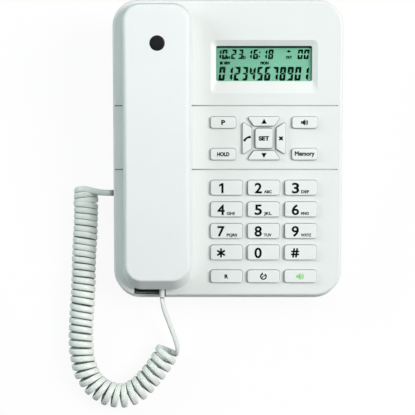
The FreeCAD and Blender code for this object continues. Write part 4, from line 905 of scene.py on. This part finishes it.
def spreadPiece(name, mesh, places, finish, turn=0.0, seed=1, matrix=None):
    # places and mesh in millimetres; the matrix takes metres to the part
    source = addObject(name + "Source", mesh)
    points = bpy.data.meshes.new(name + "Points")
    points.from_pydata(places, [], [])
    piece = addObject(name, points)
    modifier = piece.modifiers.new("spread", "NODES")
    modifier.node_group = spreadTree
    values = {"Piece": source, "Turn": math.radians(turn), "Seed": seed, "Finish": finish}
    for title, value in values.items():
        modifier[spreadInputs[title]] = value
    result = evaluatedMesh(piece)
    piece.modifiers.remove(modifier)
    piece.data = result
    bpy.data.meshes.remove(points)
    bpy.data.objects.remove(source)
    result.transform((matrix or Matrix.Identity(4)) @ toMetres)
    return piece


baseScrew = {"head": 3.0, "tall": 2.2, "shank": 1.5, "long": 10.0, "arm": 0.62, "slot": 0.15, "deep": 1.2,
             "seat": 6.0, "places": [(70.5, -88.0), (70.5, 88.0), (-50.0, 60.0), (-66.0, -50.0)],
             "turn": 90, "seed": 3}
handsetScrew = {"head": 2.4, "tall": 1.8, "shank": 1.15, "long": 10.0, "arm": 0.62, "slot": 0.15, "deep": 1.0,
                "seat": 1.0, "places": [(-49.3, 48.75), (-49.3, -47.25)], "turn": 90, "seed": 5}
rubberFoot = {"places": [(58, 80), (58, -80), (-58, 80), (-58, -80)],
              "profile": [(0, 0.3), (3.0, 0.3), (3.5, 0.0), (5.3, 0.0), (5.8, 0.25), (6.0, 0.75), (6.0, 2.8),
                          (0, 2.8)]}
baseScrews = spreadPiece("baseScrewHeads", screwMesh("baseScrew", baseScrew),
                         [(x, y, baseScrew["seat"]) for x, y in baseScrew["places"]],
                         finishes["steel"], baseScrew["turn"], baseScrew["seed"])
handsetScrews = spreadPiece("handsetScrewHeads", screwMesh("handsetScrew", handsetScrew),
                            [(u, v, handsetScrew["seat"]) for u, v in handsetScrew["places"]],
                            finishes["steel"], handsetScrew["turn"], handsetScrew["seed"], faceMatrix)
rubberFeet = spreadPiece("rubberFeet", latheMesh("rubberFoot", rubberFoot["profile"]),
                         [(x, y, 0) for x, y in rubberFoot["places"]], finishes["rubber"])
for piece, body, node, slot in ((baseScrews, "base", "base_screws", "steel"),
                                (handsetScrews, "handset", "handset_screws", "steel"),
                                (rubberFeet, "base", "rubber_feet", "rubber")):
    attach(piece, body)
    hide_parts(node)
print("screws and feet set")

# contact wires of the line socket
socketWires = {"x": 20.0, "pitch": 1.27, "count": 4, "width": 0.5, "thick": 0.25,
               "path": [(102.0, 20.25), (99.6, 20.25), (98.9, 19.9), (92.6, 16.9), (91.6, 16.9)]}


def wireMesh(setup):
    half, thick = setup["width"] / 2, setup["thick"]
    section = [(-half, 0), (half, 0), (half, thick), (-half, thick)]
    shape = bmesh.new()
    rings = [[shape.verts.new((x, y, z - drop)) for x, drop in section] for y, z in setup["path"]]
    bridgeRings(shape, rings)
    shape.faces.new(rings[0])
    shape.faces.new(rings[-1])
    return finishedMesh("socketWire", shape)


wireRow = [(socketWires["x"] + (step - (socketWires["count"] - 1) / 2) * socketWires["pitch"], 0, 0)
           for step in range(socketWires["count"])]
wires = spreadPiece("socketWires", wireMesh(socketWires), wireRow, goldPlate)
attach(wires, "base")

# plain disc on the back of the handset
handsetDisc = {"u": -48.7, "v": 73.7, "n": 16.27, "lean": -2.76, "steps": 64,
               "profile": [(0, 0.42), (3.0, 0.40), (4.5, 0.36), (5.0, 0.27), (5.3, 0.0), (5.3, -0.5),
                           (0, -0.5)]}
discMesh = latheMesh("handsetDisc", handsetDisc["profile"], handsetDisc["steps"])
discMesh.transform(toMetres)
discSpot = Vector([handsetDisc[axis] / 1000 for axis in ("u", "v", "n")])
discMesh.transform(faceMatrix @ Matrix.Translation(discSpot)
                   @ Matrix.Rotation(math.radians(handsetDisc["lean"]), 4, "X"))
disc = addObject("handsetDisc", discMesh, discBlack)
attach(disc, "handset")
print("socket wires and disc set")

# silicone mat: its sheet, and a dome under each key; merging is in metres
matSetup = {
    "top": -6.8, "trim": 0.02, "steps": 28, "kept": 0.612, "merge": 0.000001,
    "dome": [(0, -0.05), (2.9, -0.05), (2.88, 0.15), (2.6, 1.35), (2.42, 1.6), (2.36, 2.7), (2.2, 3.0),
             (2.0, 3.15), (0, 3.15)],
}


def mergedCopy(node, merge):
    # a node's loose triangles joined up, for a soft piece that stands for it
    shape = bmesh.new()
    shape.from_mesh(cadNodes[node].data)
    bmesh.ops.remove_doubles(shape, verts=shape.verts, dist=merge)
    return shape


def sheetMesh(setup):
    # the mat cut off just above its sheet, and closed again
    shape = mergedCopy("key_mat", setup["merge"])
    bmesh.ops.bisect_plane(shape, geom=shape.verts[:] + shape.edges[:] + shape.faces[:], clear_outer=True,
                           plane_co=faceMatrix @ Vector((0, 0, (setup["top"] + setup["trim"]) / 1000)),
                           plane_no=faceNormal)
    bmesh.ops.holes_fill(shape, edges=[edge for edge in shape.edges if edge.is_boundary], sides=0)
    return shapeMesh("matSheet", shape)


matSheet = addObject("matSheet", sheetMesh(matSetup), finishes["silicone"])
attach(matSheet, "base")
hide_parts("key_mat")
for key, (_, u, v, _) in keyParts.items():
    domeSpot = Vector((u / 1000, v / 1000, matSetup["top"] / 1000))
    domeName = key.replace("key_", "dome_")
    domeMesh = latheMesh(domeName, matSetup["dome"], matSetup["steps"])
    domeMesh.transform(faceMatrix @ Matrix.Translation(domeSpot) @ toMetres)
    dome = addObject(domeName, domeMesh, finishes["silicone"])
    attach(dome, "base")
    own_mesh(dome)
print("key mat: domes", len(keyParts))

# hook spring; merging is in metres
springSetup = {"u": -49.3, "v": 0.75, "low": -26.1, "high": -17.8, "sharp": 60, "merge": 0.000001}
springMesh = finishedMesh("hookSpring", mergedCopy("hook_spring", springSetup["merge"]),
                          springSetup["sharp"], springSetup["merge"])
hookSpring = addObject("hookSpring", springMesh, finishes["steel"])
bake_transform(hookSpring)
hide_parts("hook_spring")
print("hook spring set")


# floor, lights and background
studio = {
    "floorHalf": 3.0, "floorTone": 0.92, "floorRough": 0.9, "floorGlow": 0.92, "bounceTone": 0.16,
    "skyStrength": 0.02, "aim": (0, 0, 0.03), "fillTint": (0.86, 1.0, 1.0), "keyTint": (1.0, 0.985, 0.985),
    "lamps": {
        "backLamp": {"power": 3.6, "size": (0.8, 0.6), "place": (0.0, 0.62, 1.28), "tint": "keyTint"},
        "rightLamp": {"power": 36.8, "size": (1.05, 1.05), "place": (1.35, 0.15, 1.485), "tint": "keyTint"},
        "frontLamp": {"power": 2.3, "size": (0.8, 0.6), "place": (0.0, -0.9, 1.1), "tint": "fillTint"},
        "sideLamp": {"power": 7.6, "size": (0.6, 0.5), "place": (-1.06, 0.44, 0.58), "tint": "fillTint"},
    },
}


def buildFloorPaper(setup):
    # white paper where it is seen, with its shadow, and a dim one in the light that it throws back
    material, tree, shader = newMaterial("floorPaper")
    shader.inputs["Base Color"].default_value = (setup["floorTone"],) * 3 + (1,)
    shader.inputs["Roughness"].default_value = setup["floorRough"]
    shader.inputs["Specular IOR Level"].default_value = 0.0
    glow = tree.nodes.new("ShaderNodeEmission")
    glow.inputs["Strength"].default_value = 1.0
    bounce = tree.nodes.new("ShaderNodeBsdfDiffuse")
    tint = tuple(setup["bounceTone"] * share for share in setup["fillTint"])
    bounce.inputs["Color"].default_value = tint + (1,)
    path = tree.nodes.new("ShaderNodeLightPath").outputs
    mirrored = mathNode(tree, "MAXIMUM", path["Is Glossy Ray"], path["Is Transmission Ray"])
    seen = mathNode(tree, "MAXIMUM", path["Is Camera Ray"], mirrored)
    paper = shaderMix(tree, setup["floorGlow"], shader.outputs["BSDF"], glow.outputs["Emission"])
    mixed = shaderMix(tree, seen, bounce.outputs["BSDF"], paper)
    tree.links.new(mixed, tree.nodes["Material Output"].inputs["Surface"])
    return material


half = studio["floorHalf"]
floorMesh = bpy.data.meshes.new("floor")
floorMesh.from_pydata([(-half, -half, 0), (half, -half, 0), (half, half, 0), (-half, half, 0)], [],
                      [(0, 1, 2, 3)])
floor = addObject("floor", floorMesh, buildFloorPaper(studio))

world = bpy.data.worlds.new("studioWorld")
world.use_nodes = True
scene.world = world
skyTree = world.node_tree
sky = skyTree.nodes["Background"]
sky.inputs["Color"].default_value = (1, 1, 1, 1)
sky.inputs["Strength"].default_value = studio["skyStrength"]
skyWhite = skyTree.nodes.new("ShaderNodeBackground")
skyWhite.inputs["Strength"].default_value = 1.0
skyPath = skyTree.nodes.new("ShaderNodeLightPath")
skyMix = shaderMix(skyTree, skyPath.outputs["Is Camera Ray"], sky.outputs["Background"],
                   skyWhite.outputs["Background"])
skyTree.links.new(skyMix, skyTree.nodes["World Output"].inputs["Surface"])

for name, setup in studio["lamps"].items():
    lamp = bpy.data.lights.new(name, "AREA")
    lamp.energy = setup["power"]
    lamp.color = studio[setup["tint"]]
    lamp.shape = "RECTANGLE"
    lamp.size, lamp.size_y = setup["size"]
    holder = bpy.data.objects.new(name, lamp)
    scene.collection.objects.link(holder)
    holder.location = setup["place"]
    holder.rotation_mode = "QUATERNION"
    holder.rotation_quaternion = (Vector(studio["aim"]) - Vector(setup["place"])).to_track_quat("-Z", "Y")
scene.view_settings.view_transform = "Standard"
print("studio set")
